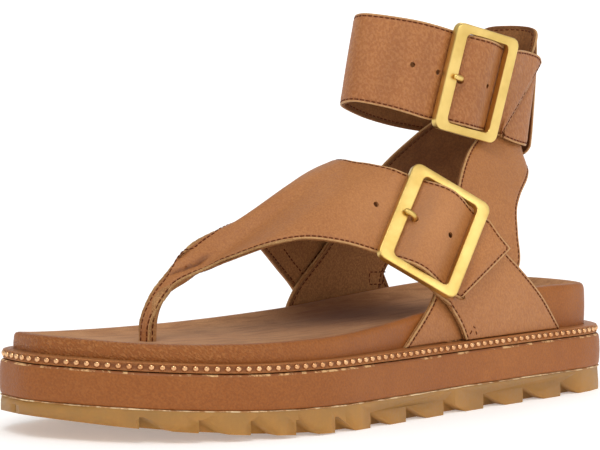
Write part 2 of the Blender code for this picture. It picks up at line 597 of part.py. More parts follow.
def build():
    clear_scene()
    shoe = bpy.data.collections.new("t_strap_sandal")
    cutters = bpy.data.collections.new("cutters")
    bpy.context.scene.collection.children.link(shoe)
    bpy.context.scene.collection.children.link(cutters)
    mats = {name: make_material(name) for name in MATERIALS}

    # outsole: a full-height core joined to a rim whose underside is cut into lugs
    edge = ring(1.1)
    foot = ring(1.5)
    outsole = ring_solid("outsole", [at_level(foot, 1), at_level(foot, 1, 3.0), at_level(edge, 2)],
                         mats["gum_rubber"])
    inner = ring(-LUG_DEPTH + 1.5)
    core = ring_solid("outsole_core", [at_level(inner, 1), at_level(inner, 2, -1.0)], mats["gum_rubber"])
    verts, faces = [], []
    for k, u in enumerate(LUG_FACES):
        pitch = u - LUG_FACES[k + 1] if k + 1 < len(LUG_FACES) else 22.0
        low = float(column(LEVELS, 1, u))
        low_end = float(column(LEVELS, 1, u - pitch * LUG_SLOPE))
        rise = (float(column(LEVELS, 2, u)) - low) * LUG_HEIGHT
        v, f = box_along_x([(u, low - 3.0), (u, low + rise), (u - 1.6, low + rise),
                            (u - pitch * LUG_SLOPE, low_end - 0.02), (u - pitch * LUG_SLOPE, low_end - 3.0)], 75.0)
        faces.extend(tuple(len(verts) + i for i in face) for face in f)
        verts.extend(v)
    x, width, depth = TOE_SLOT
    left, right = (x - width / 2, x + width / 2)
    first = len(verts)
    verts.extend((sx, su, sz) for sx in (left, right) for su, sz in (
        (262.5 - depth, 3.0), (264.0, 3.0), (264.0, 11.2), (262.5 - depth, 11.2)))
    faces.extend(tuple(first + i for i in face) for face in (
        (0, 1, 2, 3), (4, 5, 6, 7), (0, 1, 5, 4), (1, 2, 6, 5), (2, 3, 7, 6), (3, 0, 4, 7)))
    comb = make_object("lug_cutter", place(verts), faces, mats["gum_rubber"])
    boolean(outsole, comb, "DIFFERENCE", cutters)
    boolean(outsole, core, "UNION", cutters)

    edge = ring(0.9)
    midsole = ring_solid("midsole", [
        at_level(ring(0.3), 2, GAP), at_level(ring(1.3), 2, 1.4), at_level(ring(1.5), 2, 6.0),
        at_level(edge, 3, -1.2), at_level(ring(0.2), 3)], mats["wrap_leather"])

    inset = column(FOOTBED_INSET, 1, BASE_RING[:, 1])
    welt = ring_solid("welt", [
        at_level(ring(-inset + GAP), 3, GAP), at_level(ring(-0.2), 3, GAP), at_level(ring(0.2), 3, 1.0),
        at_level(ring(0.2), 4, -0.8), at_level(ring(-0.5), 4), at_level(ring(-inset + GAP), 4)],
        mats["welt_leather"], hollow=True)

    inner_side = np.clip((MID_X - BASE_RING[:, 0]) / 30.0, 0.0, 1.0)
    rim = column(LEVELS, 5, BASE_RING[:, 1]) - column(LEVELS, 7, BASE_RING[:, 1]) * inner_side
    rings = [at_level(ring(-inset), 3, GAP), np.column_stack([ring(-inset), rim - 2.2])]
    for inward, share in FOOTBED_STEPS:
        xy = ring(-inset - inward)
        floor = column(LEVELS, 6, BASE_RING[:, 1])
        rings.append(np.column_stack([xy, rim + (floor - rim) * share]))
    footbed = ring_solid("footbed", rings, mats["wrap_leather"])

    # upper: the straps that are sewn together, the quarter, the instep band with its toe post, the base strap
    instep_rows = list(BAND_INNER) + pass_rows(INSTEP_BUCKLE, PASS) + list(BAND_TIP)
    band = strap("instep_band_form", instep_rows, 5.5, 8, mats["upper_leather"], -1)
    boolean(band, toe_post("toe_post_form", mats["upper_leather"]), "UNION", cutters)
    base_rows = pass_rows(INSTEP_BUCKLE, FOLD) + list(BASE_STRAP)
    base = strap("base_strap_form", base_rows, 4.0, 6, mats["upper_leather"], -1)
    upper = strap("upper", QUARTER, 6.2, 8, mats["upper_leather"], 1)

    ankle_rows = pass_rows(ANKLE_BUCKLE, FOLD) + list(ANKLE_BAND) + pass_rows(ANKLE_BUCKLE, PASS) + list(ANKLE_TIP)
    ankle = strap("ankle_band", ankle_rows, 5.2, 4, mats["upper_leather"], -1)
    loop = strap("heel_loop", HEEL_LOOP, 5.0, 5, mats["upper_leather"], -1)

    bodies = [outsole, midsole, welt, footbed, upper, ankle, loop]
    for side, spec, pierced, folded in (("instep", INSTEP_BUCKLE, band, base),
                                        ("ankle", ANKLE_BUCKLE, ankle, ankle)):
        frame, rod = buckle(side + "_buckle", spec, mats["satin_brass"])
        boolean(frame, rod, "UNION", cutters)
        pin, bar, clear, slot = prong(side + "_prong", spec, mats["satin_brass"])
        boolean(pin, bar, "UNION", cutters)
        boolean(pierced, clear, "DIFFERENCE", cutters)
        boolean(folded, slot, "DIFFERENCE", cutters)
        bodies += [frame, pin]

    for number, row in enumerate(SEAMS):
        boolean(upper, seam_block("seam_form_%d" % number, row, mats["upper_leather"]), "UNION", cutters)
    boolean(upper, band, "UNION", cutters)
    boolean(upper, base, "UNION", cutters)

    for obj in bodies:
        shoe.objects.link(obj)
    for obj in bodies:
        if obj.modifiers:
            bake(obj)
    for obj in list(cutters.objects):
        bpy.data.objects.remove(obj, do_unlink=True)


build()
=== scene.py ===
"""T-strap platform sandal, left shoe, standing empty on its sole.

The shoe is set out in bench millimetres: x is across the shoe (outer side of the foot positive),
u is the distance from the heel end towards the toe and z is the height above the floor.
"""
import json
import math

import bmesh
import bpy
import numpy as np
from mathutils import Matrix, Vector
from mathutils.kdtree import KDTree

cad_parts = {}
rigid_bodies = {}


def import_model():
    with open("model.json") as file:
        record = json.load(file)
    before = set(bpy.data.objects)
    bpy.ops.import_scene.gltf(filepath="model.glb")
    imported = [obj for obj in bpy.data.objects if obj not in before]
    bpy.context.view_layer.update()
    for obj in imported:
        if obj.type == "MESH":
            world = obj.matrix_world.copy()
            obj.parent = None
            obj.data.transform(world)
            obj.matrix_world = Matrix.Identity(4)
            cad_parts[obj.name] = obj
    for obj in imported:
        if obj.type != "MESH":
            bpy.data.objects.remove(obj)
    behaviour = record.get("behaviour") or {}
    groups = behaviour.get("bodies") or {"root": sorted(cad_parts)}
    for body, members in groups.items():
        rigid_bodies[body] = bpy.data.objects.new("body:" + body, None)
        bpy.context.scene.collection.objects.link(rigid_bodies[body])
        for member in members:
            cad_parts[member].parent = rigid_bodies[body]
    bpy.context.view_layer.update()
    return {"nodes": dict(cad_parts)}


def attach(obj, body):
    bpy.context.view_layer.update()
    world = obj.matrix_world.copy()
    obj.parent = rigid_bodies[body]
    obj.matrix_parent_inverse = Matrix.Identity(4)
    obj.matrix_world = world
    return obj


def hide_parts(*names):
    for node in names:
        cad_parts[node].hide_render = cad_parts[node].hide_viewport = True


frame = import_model()

# ---------------------------------------------------------------- sizes of the shoe

MM = 0.001
MID_X = 4.35            # bench place of the world's origin
MID_U = 128.6
ROUND_SOLE = 264        # points round each outline of the sole

# welt outline seen from above, heel end first, round by the outer side
WELT_OUTLINE = (
    # x, u
    (-1.0, -3.4), (14.0, -1.2), (23.9, 5.4), (28.6, 17.2), (31.0, 32.0), (34.8, 60.8), (40.2, 100.9),
    (47.4, 140.8), (52.0, 175.1), (46.8, 208.6), (29.4, 239.5), (0.2, 258.4), (-17.0, 259.8),
    (-30.6, 253.8), (-41.4, 232.0), (-43.0, 191.9), (-38.0, 151.2), (-33.8, 105.5), (-33.4, 60.0),
    (-31.4, 27.5), (-27.6, 12.0), (-15.6, -0.2),
)
# heights of the layers of the sole along the shoe
SOLE_LEVELS = (
    # u, ground, outsole top, midsole top, welt top, footbed rim, footbed floor, drop of the inner rim
    (-4.0, 0.0, 8.7, 22.0, 25.6, 41.2, 37.0, 0.0),
    (40.0, 0.0, 9.1, 22.3, 25.9, 41.7, 36.4, 0.0),
    (70.0, 0.0, 9.1, 22.3, 25.9, 40.4, 36.0, 0.0),
    (100.0, 0.0, 9.1, 22.3, 25.8, 37.8, 34.2, 0.0),
    (128.0, 0.0, 9.1, 22.4, 25.9, 35.2, 31.8, 0.3),
    (150.0, 0.0, 9.2, 22.6, 26.1, 33.8, 30.3, 0.6),
    (180.0, 0.7, 9.5, 22.9, 26.4, 33.0, 29.6, 1.2),
    (210.0, 2.5, 10.3, 23.3, 26.8, 33.0, 29.9, 1.2),
    (240.0, 5.4, 11.9, 24.8, 28.4, 33.9, 31.2, 0.8),
    (262.0, 8.2, 13.1, 26.0, 29.6, 35.4, 33.0, 0.0),
)
OUTSOLE_TOP, MIDSOLE_TOP, WELT_TOP, FOOTBED_RIM, FOOTBED_FLOOR, RIM_DROP = range(2, 8)
LAYER_GAP = 0.3         # air left between two layers of the sole
LUG_ROUNDING = 0.45
# distance of the footbed wall inside the welt outline
FOOTBED_INSET = (
    # u, inset
    (-4.0, 4.9), (25.0, 5.3), (42.0, 6.6), (104.0, 6.6), (124.0, 5.9), (141.0, 4.2), (262.0, 3.6),
)
FOOTBED_WALL = (
    # share of the wall's height, bulge outwards
    (0.05, 0.05), (0.25, 0.18), (0.5, 0.22), (0.75, 0.15), (0.93, 0.04),
)
FOOTBED_SHOULDER = 1.9  # height of the rounding at the top of the wall
FOOTBED_DISH = (
    # distance in from the wall, share of the dish depth
    (0.0, 0.50), (0.12, 0.28), (0.4, 0.08), (0.85, -0.07), (1.5, -0.15), (2.3, -0.17), (3.2, -0.08),
    (5.0, 0.18), (7.0, 0.42), (9.0, 0.62),
)
DISH_TO_SPINE = (
    # share of the way from the last ring of the dish to the middle of the foot, share of the dish depth
    (0.12, 0.80), (0.24, 0.92), (0.40, 0.98), (0.60, 1.0), (0.82, 1.0),
)
SPINE_ENDS = (36.0, 216.0)

# beads pressed into the side of the welt
BEAD_PITCH = 3.82
BEAD_RADIUS = 1.12
BEAD_DOME = 0.72        # height of a bead as a share of its radius
BEAD_SINK = 0.12
BEAD_LINE = (
    # u, height of the row of beads
    (-4.0, 24.0), (52.0, 24.5), (105.0, 24.4), (157.0, 24.7), (210.0, 25.3), (240.0, 26.7), (262.0, 28.0),
)

# buckles: middle of the front face, direction along the strap, direction across it, size along, across
INSTEP_BUCKLE = ((34.2, 104.4, 68.3), (0.405, -0.763, -0.503), (-0.160, -0.602, 0.782), 34.6, 42.8)
ANKLE_BUCKLE = ((18.7, 67.6, 122.0), (0.040, -0.974, -0.218), (0.107, -0.232, 0.972), 32.4, 41.6)
BUCKLE_BAR = 4.8        # bar at the strap's fold
BUCKLE_FRONT_BAR = 5.6  # bar under the prong's tip
BUCKLE_END_BAR = 3.4    # bars along the strap's edges
BUCKLE_THICK = 3.0
BUCKLE_CORNER = 3.4
WINDOW_CORNER = 2.2
FRAME_ROUNDING = (
    # rounding, of the window, behind the front face by
    (0.55, False, 0.0), (0.45, True, 0.0), (0.4, False, BUCKLE_THICK), (0.3, True, BUCKLE_THICK),
)
ROD_DEPTH = -3.5        # middle bar, behind the frame's front face
PRONG_TIP = (0.95, 0.82, 0.58, 0.22)    # radius towards its point, as shares of PRONG_RADIUS
PRONG_FLAT = 0.86       # thickness as a share of the width
LOOP_RADIUS = 1.8       # loop of the prong round the middle bar
LOOP_WIRE = 0.5
LOOP_LONG = 2.1         # drawn out along the bar
ROD_RADIUS = 1.0

# how a strap passes a buckle: w along the strap as a share of half the buckle, n out of its face,
# clear space left beside the strap's lower and upper edges in the window
INSTEP_APPROACH = (
    # w, n, clear low, clear high
    (-1.16, -4.1, -1.5, 1.5), (-0.92, -3.9, -0.6, 0.9),
)
ANKLE_APPROACH = (
    # w, n, clear low, clear high
    (-1.16, -4.1, -0.9, 0.1), (-0.92, -3.9, -0.7, 0.2),
)
BUCKLE_PASS = (
    # w, n, clear low, clear high
    (-0.73, -3.5, 0.2, 0.2), (-0.57, -2.2, 0.2, 0.2), (-0.36, -0.1, 0.2, 0.15), (-0.12, 1.55, 0.2, 0.15),
    (0.12, 1.55, 0.2, 0.2), (0.36, -0.1, 0.3, 0.4), (0.57, -2.2, 0.5, 0.5), (0.73, -3.5, 0.6, 0.6),
    (0.94, -3.8, 0.5, 0.5), (1.14, -3.8, 0.3, 0.3),
)
# how a strap end folds round the middle bar of a buckle, and how it leaves the fold
BUCKLE_FOLD = (
    # w in millimetres, n, clear low, clear high, thickness
    (3.2, -2.6, 1.6, 1.6, 1.1), (1.4, -2.15, 1.6, 1.6, 1.1), (0.0, -2.0, 1.6, 1.6, 1.1),
    (-1.06, -2.44, 1.6, 1.6, 1.1), (-1.5, -3.5, 1.6, 1.6, 1.1), (-1.06, -4.56, 1.6, 1.6, 1.1),
    (0.3, -5.2, 1.6, 1.6, 1.2),
)
INSTEP_TAIL = (
    # w, n, clear low, clear high, thickness
    (4.0, -5.8, 0.6, 1.6, 1.5), (10.0, -5.9, -1.4, 1.4, 1.8), (17.0, -6.1, -2.6, 1.2, 1.8),
)
ANKLE_TAIL = (
    # w, n, clear low, clear high, thickness
    (4.0, -5.8, 1.4, 1.4, 1.5), (10.0, -6.0, 1.1, 1.1, 1.8), (17.0, -6.1, 1.0, 1.0, 1.8),
)
PRONG_RADIUS = 1.15
PRONG_LINE = (
    # w, n
    (-1.9, -3.6), (-4.6, -3.9), (-7.0, -3.5), (-8.3, -2.3), (-9.0, -0.7), (-9.9, 0.5), (-11.3, 1.1),
    (-14.5, 1.15),
)

# layers of a strap, as shares of its thickness
STRAP_THICK = 1.8
OUTER_BACK = 0.54
LINING_FACE = 0.64
CUT_ROUNDING = 0.42     # rounding of a cut edge
ON_THE_STRAP = 1.9      # no vertex lies further than this from the points it was laid on
# instep band from the inner side of the sole over the instep to the buckle, outer face
BAND_ROWS = (
    # x1, u1, z1, x2, u2, z2, crown
    (-33.3, 107.0, 26.3, -32.7, 61.0, 26.3, 0.0),
    (-33.9, 117.0, 42.5, -33.4, 71.0, 48.0, 0.2),
    (-31.8, 126.6, 50.6, -31.8, 82.0, 60.0, 1.2),
    (-27.6, 137.6, 58.4, -26.8, 94.0, 73.6, 1.8),
    (-21.0, 150.6, 65.6, -18.6, 104.5, 85.6, 2.0),
    (-14.6, 163.0, 69.2, -9.6, 114.6, 92.6, 1.2),
    (-12.6, 174.4, 67.2, -5.2, 117.4, 93.5, 0.6),
    (-12.2, 184.6, 63.2, -1.6, 119.4, 93.7, 0.5),
    (-11.4, 191.6, 57.9, 1.4, 119.8, 93.7, 0.5),
    (-5.8, 187.0, 55.2, 4.2, 119.2, 93.3, 0.6),
    (-0.4, 180.4, 58.2, 6.6, 118.2, 93.0, 0.8),
    (5.0, 175.4, 61.0, 9.2, 116.4, 92.7, 1.0),
    (11.4, 167.2, 64.4, 12.0, 114.2, 92.1, 1.2),
    (18.0, 154.0, 66.4, 14.4, 111.9, 91.5, 1.2),
    (23.4, 141.4, 64.6, 16.6, 109.7, 90.8, 0.6),
)
# how far the instep sinks near its front edge and swells near its throat, from row to row
INSTEP_LEAN = ((3, 0.0), (5, 1.2), (9, 1.2), (12, 0.0))
POST_FROM_ROW = 7       # the toe post grows out of the band's front edge between these rows
POST_TO_ROW = 10
POST_STEPS = 33         # rows of vertices down the toe post
POST_THICK = 1.25
POST_RUN = 150.0        # distance along the leather at which the toe post starts
BAND_END_ROWS = (
    # x1, u1, z1, x2, u2, z2, crown
    (42.0, 98.6, 43.2, 38.2, 75.4, 66.2, 0.4),
    (42.0, 97.4, 43.2, 39.2, 69.4, 59.9, 0.2),
)
BASE_ROWS = (
    # x1, u1, z1, x2, u2, z2, crown
    (38.8, 100.6, 39.6, 35.4, 68.6, 58.4, 0.3),
    (38.6, 97.0, 35.4, 35.6, 58.8, 50.2, 0.4),
    (38.1, 93.9, 31.4, 33.4, 46.8, 40.8, 0.3),
    (37.2, 90.4, 26.2, 29.0, 31.4, 26.2, 0.0),
)
QUARTER_ROWS = (
    # x1, u1, z1, x2, u2, z2, crown
    (40.6, 124.8, 26.2, 31.6, 72.0, 26.3, 0.0),
    (35.9, 106.6, 42.4, 32.0, 66.0, 41.0, 0.1),
    (30.5, 96.0, 57.4, 30.7, 55.8, 52.6, 0.1),
    (27.0, 87.4, 73.0, 27.8, 53.9, 64.2, 0.4),
    (21.8, 79.6, 85.8, 24.5, 51.2, 73.0, 0.6),
    (16.0, 69.6, 95.6, 19.8, 44.6, 78.4, 0.6),
    (10.0, 56.4, 102.8, 14.0, 34.8, 84.4, 0.4),
    (7.2, 44.0, 110.0, 9.2, 29.6, 87.6, 0.2),
    (6.2, 32.0, 123.0, 4.6, 28.6, 89.8, -0.4),
    (5.8, 22.4, 142.6, 0.4, 28.8, 90.8, -1.2),
    (-2.2, 21.6, 143.8, -2.2, 28.7, 91.0, -1.2),
    (-8.0, 24.6, 144.0, -4.4, 29.0, 90.8, -1.0),
    (-13.4, 33.2, 142.8, -7.6, 30.4, 89.4, -0.4),
    (-13.4, 43.0, 126.0, -10.6, 33.0, 86.4, 0.0),
    (-13.2, 55.0, 110.6, -15.0, 38.4, 82.4, 0.4),
    (-16.0, 66.8, 102.2, -20.2, 44.8, 78.8, 0.6),
    (-20.2, 81.0, 90.2, -24.6, 51.6, 71.8, 0.6),
    (-24.4, 94.2, 74.0, -27.8, 58.8, 62.6, 0.4),
    (-28.9, 106.0, 56.2, -30.5, 66.4, 53.6, 0.2),
    (-31.6, 117.2, 42.6, -31.3, 72.0, 44.0, -0.5),
    (-32.5, 124.9, 26.3, -29.0, 74.0, 26.3, -1.0),
)
ANKLE_ROWS = (
    # x1, u1, z1, x2, u2, z2, crown
    (12.0, 40.0, 98.4, 11.6, 33.0, 130.4, 0.0),
    (8.4, 30.2, 96.8, 8.0, 24.2, 129.0, 0.0),
    (-2.2, 25.4, 96.4, -2.2, 21.2, 129.0, 0.0),
    (-11.6, 28.4, 97.4, -12.0, 24.6, 130.0, 0.0),
    (-16.4, 40.0, 99.4, -17.4, 36.4, 132.0, 0.2),
    (-18.0, 55.0, 101.4, -19.0, 50.6, 134.6, 0.3),
    (-18.8, 70.0, 103.4, -19.2, 65.0, 137.0, 0.3),
    (-18.6, 85.0, 106.2, -18.2, 79.0, 140.2, 0.3),
    (-16.6, 99.4, 109.8, -15.4, 93.2, 144.0, 0.3),
    (-12.2, 111.0, 113.8, -10.4, 105.4, 147.8, 0.2),
    (-4.0, 113.2, 115.2, -3.2, 107.8, 148.8, 0.2),
    (4.4, 105.6, 113.6, 5.0, 99.0, 147.6, 0.2),
    (10.6, 95.6, 110.5, 11.2, 88.0, 145.4, 0.0),
)
ANKLE_END_ROWS = (
    # x1, u1, z1, x2, u2, z2, crown
    (15.9, 52.4, 101.4, 14.2, 34.4, 134.0, 0.0),
    (15.5, 51.4, 101.4, 10.6, 24.4, 131.2, 0.2),
    (15.4, 51.2, 101.5, 9.0, 22.4, 129.6, 0.2),
)
HEEL_LOOP_ROWS = (
    # x1, u1, z1, x2, u2, z2, crown, thickness
    (-8.6, 28.2, 92.6, 3.4, 27.7, 92.6, 0.4, 1.0),
    (-9.2, 25.6, 94.2, 4.4, 25.4, 94.2, 0.6, 1.0),
    (-9.8, 24.4, 96.2, 5.0, 24.2, 96.2, 0.9, 1.0),
    (-10.2, 24.0, 99.0, 5.2, 23.9, 99.0, 1.0, 1.0),
    (-10.6, 23.2, 110.0, 5.3, 22.9, 110.0, 1.2, 1.0),
    (-11.0, 21.8, 124.0, 4.9, 21.4, 124.0, 1.4, 1.0),
    (-11.0, 21.0, 130.2, 4.5, 20.6, 130.2, 1.3, 1.0),
    (-10.6, 20.8, 134.0, 4.2, 20.3, 134.0, 1.1, 1.0),
    (-10.2, 20.8, 138.0, 4.0, 20.2, 138.0, 1.0, 1.0),
)
# front face of the toe post, from the band down to the footbed
POST_FACE = (
    # x left, u, z, x right, u, z
    (-12.9, 196.2, 52.2, -5.9, 194.6, 51.2),
    (-13.1, 200.8, 47.6, -6.6, 199.8, 46.2),
    (-13.1, 204.3, 42.4, -7.2, 203.9, 41.4),
    (-13.0, 206.8, 36.6, -7.4, 206.6, 36.0),
    (-13.0, 207.4, 29.4, -7.4, 207.2, 29.4),
)
# suede padding behind the front face of the toe post, and the lining above it
POST_BACKING = (
    # x, u, z, half depth, half width
    (-10.2, 204.8, 29.4, 1.65, 2.7),
    (-10.2, 204.3, 37.0, 1.65, 2.7),
    (-10.1, 202.4, 42.8, 1.55, 2.7),
    (-9.9, 198.7, 47.6, 1.3, 2.8),
    (-9.6, 195.0, 50.2, 0.8, 2.8),
    (-9.4, 192.4, 51.6, 0.4, 2.6),
)
POST_LINING = (
    # x, u, z, half depth, half width
    (-10.0, 199.6, 46.6, 0.7, 2.7),
    (-9.6, 195.4, 49.4, 1.2, 2.9),
    (-9.0, 191.2, 51.6, 1.3, 3.1),
    (-8.3, 187.0, 53.8, 0.9, 2.9),
    (-7.6, 183.6, 55.8, 0.4, 2.4),
)

# stitching
STITCH_PITCH = 2.2
STITCH_INSET = 1.05     # from the cut edge, on the face
INSIDE_INSET = 1.7      # and on the lining
SEWN_FROM_ROW = 9       # row of a strap's table where the stitching starts beyond a buckle's fold
STITCH_RADIUS = 0.27
STITCH_BAR = 0.9
STITCH_ENDS = (
    # run, sink, size of the end
    (0.26, 0.04, 0.88), (0.22, 0.22, 0.6),
)
FLAP_ROLL = 0.46        # radius of the turned raw edge beside the toe post
HOLE_DEPTH = 9.0

# studio, in metres
AIM = (0.0, 0.0, 0.07)
SOFTBOXES = (
    # name, place, size, power, colour
    ("key_softbox", (0.80, -0.95, 1.55), 0.9, 12.0, (1.0, 0.98, 0.95)),
    ("side_softbox", (1.40, 0.30, 0.75), 0.8, 3.5, (1.0, 1.0, 1.0)),
    ("back_softbox", (-0.7, 1.0, 1.2), 0.9, 4.0, (1.0, 1.0, 1.0)),
)
FLOOR_RADIUS = 6.0
FLOOR_STEPS = (
    # further out, higher up
    (1.2, 0.12), (1.0, 0.35), (0.6, 0.55), (0.2, 0.7),
)
CAMERA_PLACE = (0.77785, -0.6950, 0.1423)
CAMERA_RIGHT = (0.6570, 0.7539, 0.0047)
CAMERA_BACK = (0.7519, -0.6556, 0.0698)
CAMERA_LENS = 167.5     # millimetres, on a 36 mm wide sensor

# ---------------------------------------------------------------- setting out


def metres(bench):
    """Bench millimetres (x, u, z) to world metres."""
    bench = np.asarray(bench, float)
    across = (bench[..., 0] - MID_X) * MM
    back = (MID_U - bench[..., 1]) * MM
    return np.stack([across, back, bench[..., 2] * MM], axis=-1)


def bench_direction(vector):
    """A direction in bench axes, turned to world axes."""
    return Vector((vector[0], -vector[1], vector[2]))


def unit(vectors):
    length = np.linalg.norm(vectors, axis=-1)[..., None]
    return vectors / np.maximum(length, 1e-9)


def level(column, u, table=SOLE_LEVELS):
    """Smooth value of one column of a table at u."""
    at = np.array([row[0] for row in table])
    value = np.array([row[column] for row in table])
    slope = np.gradient(value, at)
    u = np.clip(np.asarray(u, float), at[0], at[-1])
    k = np.clip(np.searchsorted(at, u) - 1, 0, len(at) - 2)
    span = at[k + 1] - at[k]
    t = (u - at[k]) / span
    start = (2 * t ** 3 - 3 * t ** 2 + 1) * value[k] + (t ** 3 - 2 * t ** 2 + t) * span * slope[k]
    end = (3 * t ** 2 - 2 * t ** 3) * value[k + 1] + (t ** 3 - t ** 2) * span * slope[k + 1]
    return start + end


def smooth_curve(points, count, closed=False):
    """Smooth curve through points, with count samples evenly spread along it."""
    points = np.asarray(points, float)
    total = len(points)
    fine = []
    for i in range(total if closed else total - 1):
        if closed:
            a, b, c, d = (points[(i + k) % total] for k in (-1, 0, 1, 2))
        else:
            b, c = points[i], points[i + 1]
            a = points[i - 1] if i > 0 else 2 * b - c
            d = points[i + 2] if i + 2 < total else 2 * c - b
        for t in np.arange(0.0, 1.0, 1.0 / 24):
            fine.append(0.5 * (2 * b + (c - a) * t + (2 * a - 5 * b + 4 * c - d) * t ** 2
                               + (3 * b - 3 * c + d - a) * t ** 3))
    fine.append(points[0] if closed else points[-1])
    return even_steps(np.array(fine), count, closed)


def run_length(points):
    """Distance along a line of points, from its start."""
    return np.r_[0.0, np.cumsum(np.linalg.norm(np.diff(points[:, :3], axis=0), axis=1))]


def even_steps(points, count, closed=False):
    """A line of points, sampled again at even distances."""
    along = run_length(points)
    want = np.linspace(0.0, along[-1], count, endpoint=not closed)
    return np.stack([np.interp(want, along, points[:, k]) for k in range(points.shape[1])], axis=1)


def at_run(spot, along, values):
    """Three values at a distance along a line of points."""
    return np.array([np.interp(spot, along, values[:, k]) for k in range(3)])


def strap_lines(rows, step):
    """Cross lines of a strap, evenly eased between the rows of its table."""
    rows = np.asarray(rows, float)
    lines = []
    keys = []
    for i in range(len(rows) - 1):
        b, c = rows[i], rows[i + 1]
        a = rows[i - 1] if i > 0 else 2 * b - c
        d = rows[i + 2] if i + 2 < len(rows) else 2 * c - b
        reach = max(np.linalg.norm((c - b)[:3]), np.linalg.norm((c - b)[3:6]))
        before = np.linalg.norm((c - b)[:6]) / max(np.linalg.norm((b - a)[:6]), 1e-6)
        after = np.linalg.norm((c - b)[:6]) / max(np.linalg.norm((d - c)[:6]), 1e-6)
        leave = ((c - b) + (b - a) * before * before) / (1 + before)
        arrive = ((c - b) + (d - c) * after * after) / (1 + after)
        keys.append(len(lines))
        for t in np.arange(0.0, 1.0, 1.0 / max(1, round(reach / step))):
            lines.append((2 * t ** 3 - 3 * t ** 2 + 1) * b + (t ** 3 - 2 * t ** 2 + t) * leave
                         + (3 * t ** 2 - 2 * t ** 3) * c + (t ** 3 - t ** 2) * arrive)
    keys.append(len(lines))
    lines.append(rows[-1])
    return np.array(lines), keys


def buckle_axes(spec):
    """Middle, direction along the strap, across it and out of the front face, in bench axes."""
    centre, along, across = (np.array(v, float) for v in spec[:3])
    along = unit(along)
    across = unit(across - along * np.dot(across, along))
    out = np.cross(across, along)
    return centre, along, across, out if out[0] > 0 else -out


def at_buckle(spec, w, v, n):
    """Bench place from distances along the strap, across it and out of the buckle's face."""
    centre, along, across, out = buckle_axes(spec)
    return centre + along * w + across * v + out * n


def rows_at_buckle(spec, table):
    """Cross lines of a strap inside a buckle; a fifth column is the strap's thickness."""
    window = spec[4] / 2 - BUCKLE_END_BAR
    share = 1.0 if len(table[0]) > 4 else spec[3] / 2
    rows = []
    for w, n, clear_low, clear_high, *thick in table:
        low = at_buckle(spec, w * share, clear_low - window, n)
        high = at_buckle(spec, w * share, window - clear_high, n)
        rows.append(tuple(low) + tuple(high) + (0.0,) + tuple(thick))
    return rows


# ---------------------------------------------------------------- bench tools


def lay_down():
    """Nothing selected and nothing being edited."""
    if bpy.context.object and bpy.context.object.mode != "OBJECT":
        bpy.ops.object.mode_set(mode="OBJECT")
    for obj in bpy.context.scene.objects:
        obj.select_set(False)


def pick_up(*pieces):
    lay_down()
    for piece in pieces:
        piece.select_set(True)
    bpy.context.view_layer.objects.active = pieces[0]


def open_mesh(piece, kind):
    """Edit mode on one piece, with nothing selected in it."""
    pick_up(piece)
    bpy.ops.object.mode_set(mode="EDIT")
    bpy.ops.mesh.select_mode(type=kind)
    bpy.ops.mesh.select_all(action="DESELECT")
    mesh = bmesh.from_edit_mesh(piece.data)
    mesh.verts.ensure_lookup_table()
    mesh.edges.ensure_lookup_table()
    mesh.faces.ensure_lookup_table()
    return mesh


def close_mesh(piece):
    bmesh.update_edit_mesh(piece.data)
    bpy.ops.object.mode_set(mode="OBJECT")
    return piece


def finish_modifier(piece, kind, **settings):
    """Adds a modifier to a piece and applies it."""
    pick_up(piece)
    modifier = piece.modifiers.new(kind.title(), kind)
    for key, value in settings.items():
        setattr(modifier, key, value)
    bpy.ops.object.modifier_apply(modifier=modifier.name)
    return piece


def clear_slivers(piece):
    """Melts away the faces without area that a cut or a bevel leaves."""
    open_mesh(piece, "VERT")
    bpy.ops.mesh.select_all(action="SELECT")
    bpy.ops.mesh.dissolve_degenerate(threshold=0.01 * MM)
    return close_mesh(piece)


def face_outwards(piece):
    open_mesh(piece, "FACE")
    bpy.ops.mesh.select_all(action="SELECT")
    bpy.ops.mesh.normals_make_consistent(inside=False)
    return close_mesh(piece)


def smooth_faces(piece, angle):
    """Smooth shading, but for edges sharper than the angle."""
    pick_up(piece)
    bpy.ops.object.shade_smooth_by_angle(angle=math.radians(angle))
    return piece


def set_points(piece, points):
    piece.data.vertices.foreach_set("co", np.asarray(points, float).ravel())
    piece.data.update()


def get_points(piece):
    points = np.zeros(len(piece.data.vertices) * 3)
    piece.data.vertices.foreach_get("co", points)
    return points.reshape(-1, 3)


def join_pieces(name, parts):
    pick_up(*parts)
    if len(parts) > 1:
        bpy.ops.object.join()
    piece = bpy.context.view_layer.objects.active
    piece.name = name
    piece.data.name = name
    return piece


def copy_to(master, placed):
    """A copy of a small modelled piece, with its mesh moved to its place."""
    copy = master.copy()
    copy.data = master.data.copy()
    bpy.context.scene.collection.objects.link(copy)
    copy.data.transform(placed)
    return copy


def turned_to(x_axis, y_axis, z_axis):
    return Matrix((x_axis, y_axis, z_axis)).transposed().to_4x4()


def dress(piece, *materials):
    piece.data.materials.clear()
    for material in materials:
        piece.data.materials.append(material)


def trim(piece):
    """A small piece that no CAD node stands for, riding with the shoe."""
    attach(piece, "root")
    return piece


def settle(piece, node):
    """The piece stands for its CAD node and rides with the shoe."""
    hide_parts(node)
    return trim(piece)


def corner_vertices(piece):
    """Vertex number at every corner of every face."""
    corners = np.zeros(len(piece.data.loops), int)
    piece.data.loops.foreach_get("vertex_index", corners)
    return corners


def paint_run(piece, corner_values):
    """UV map of a piece from one pair of millimetre values for each corner."""
    layer = piece.data.uv_layers.active or piece.data.uv_layers.new(name="UVMap")
    layer.data.foreach_set("uv", (np.asarray(corner_values) * MM).astype(np.float32).ravel())


# ---------------------------------------------------------------- cut leather

FACE_SIDE, BACK_SIDE, CUT_SIDE = range(3)       # material slots of a sheet of leather


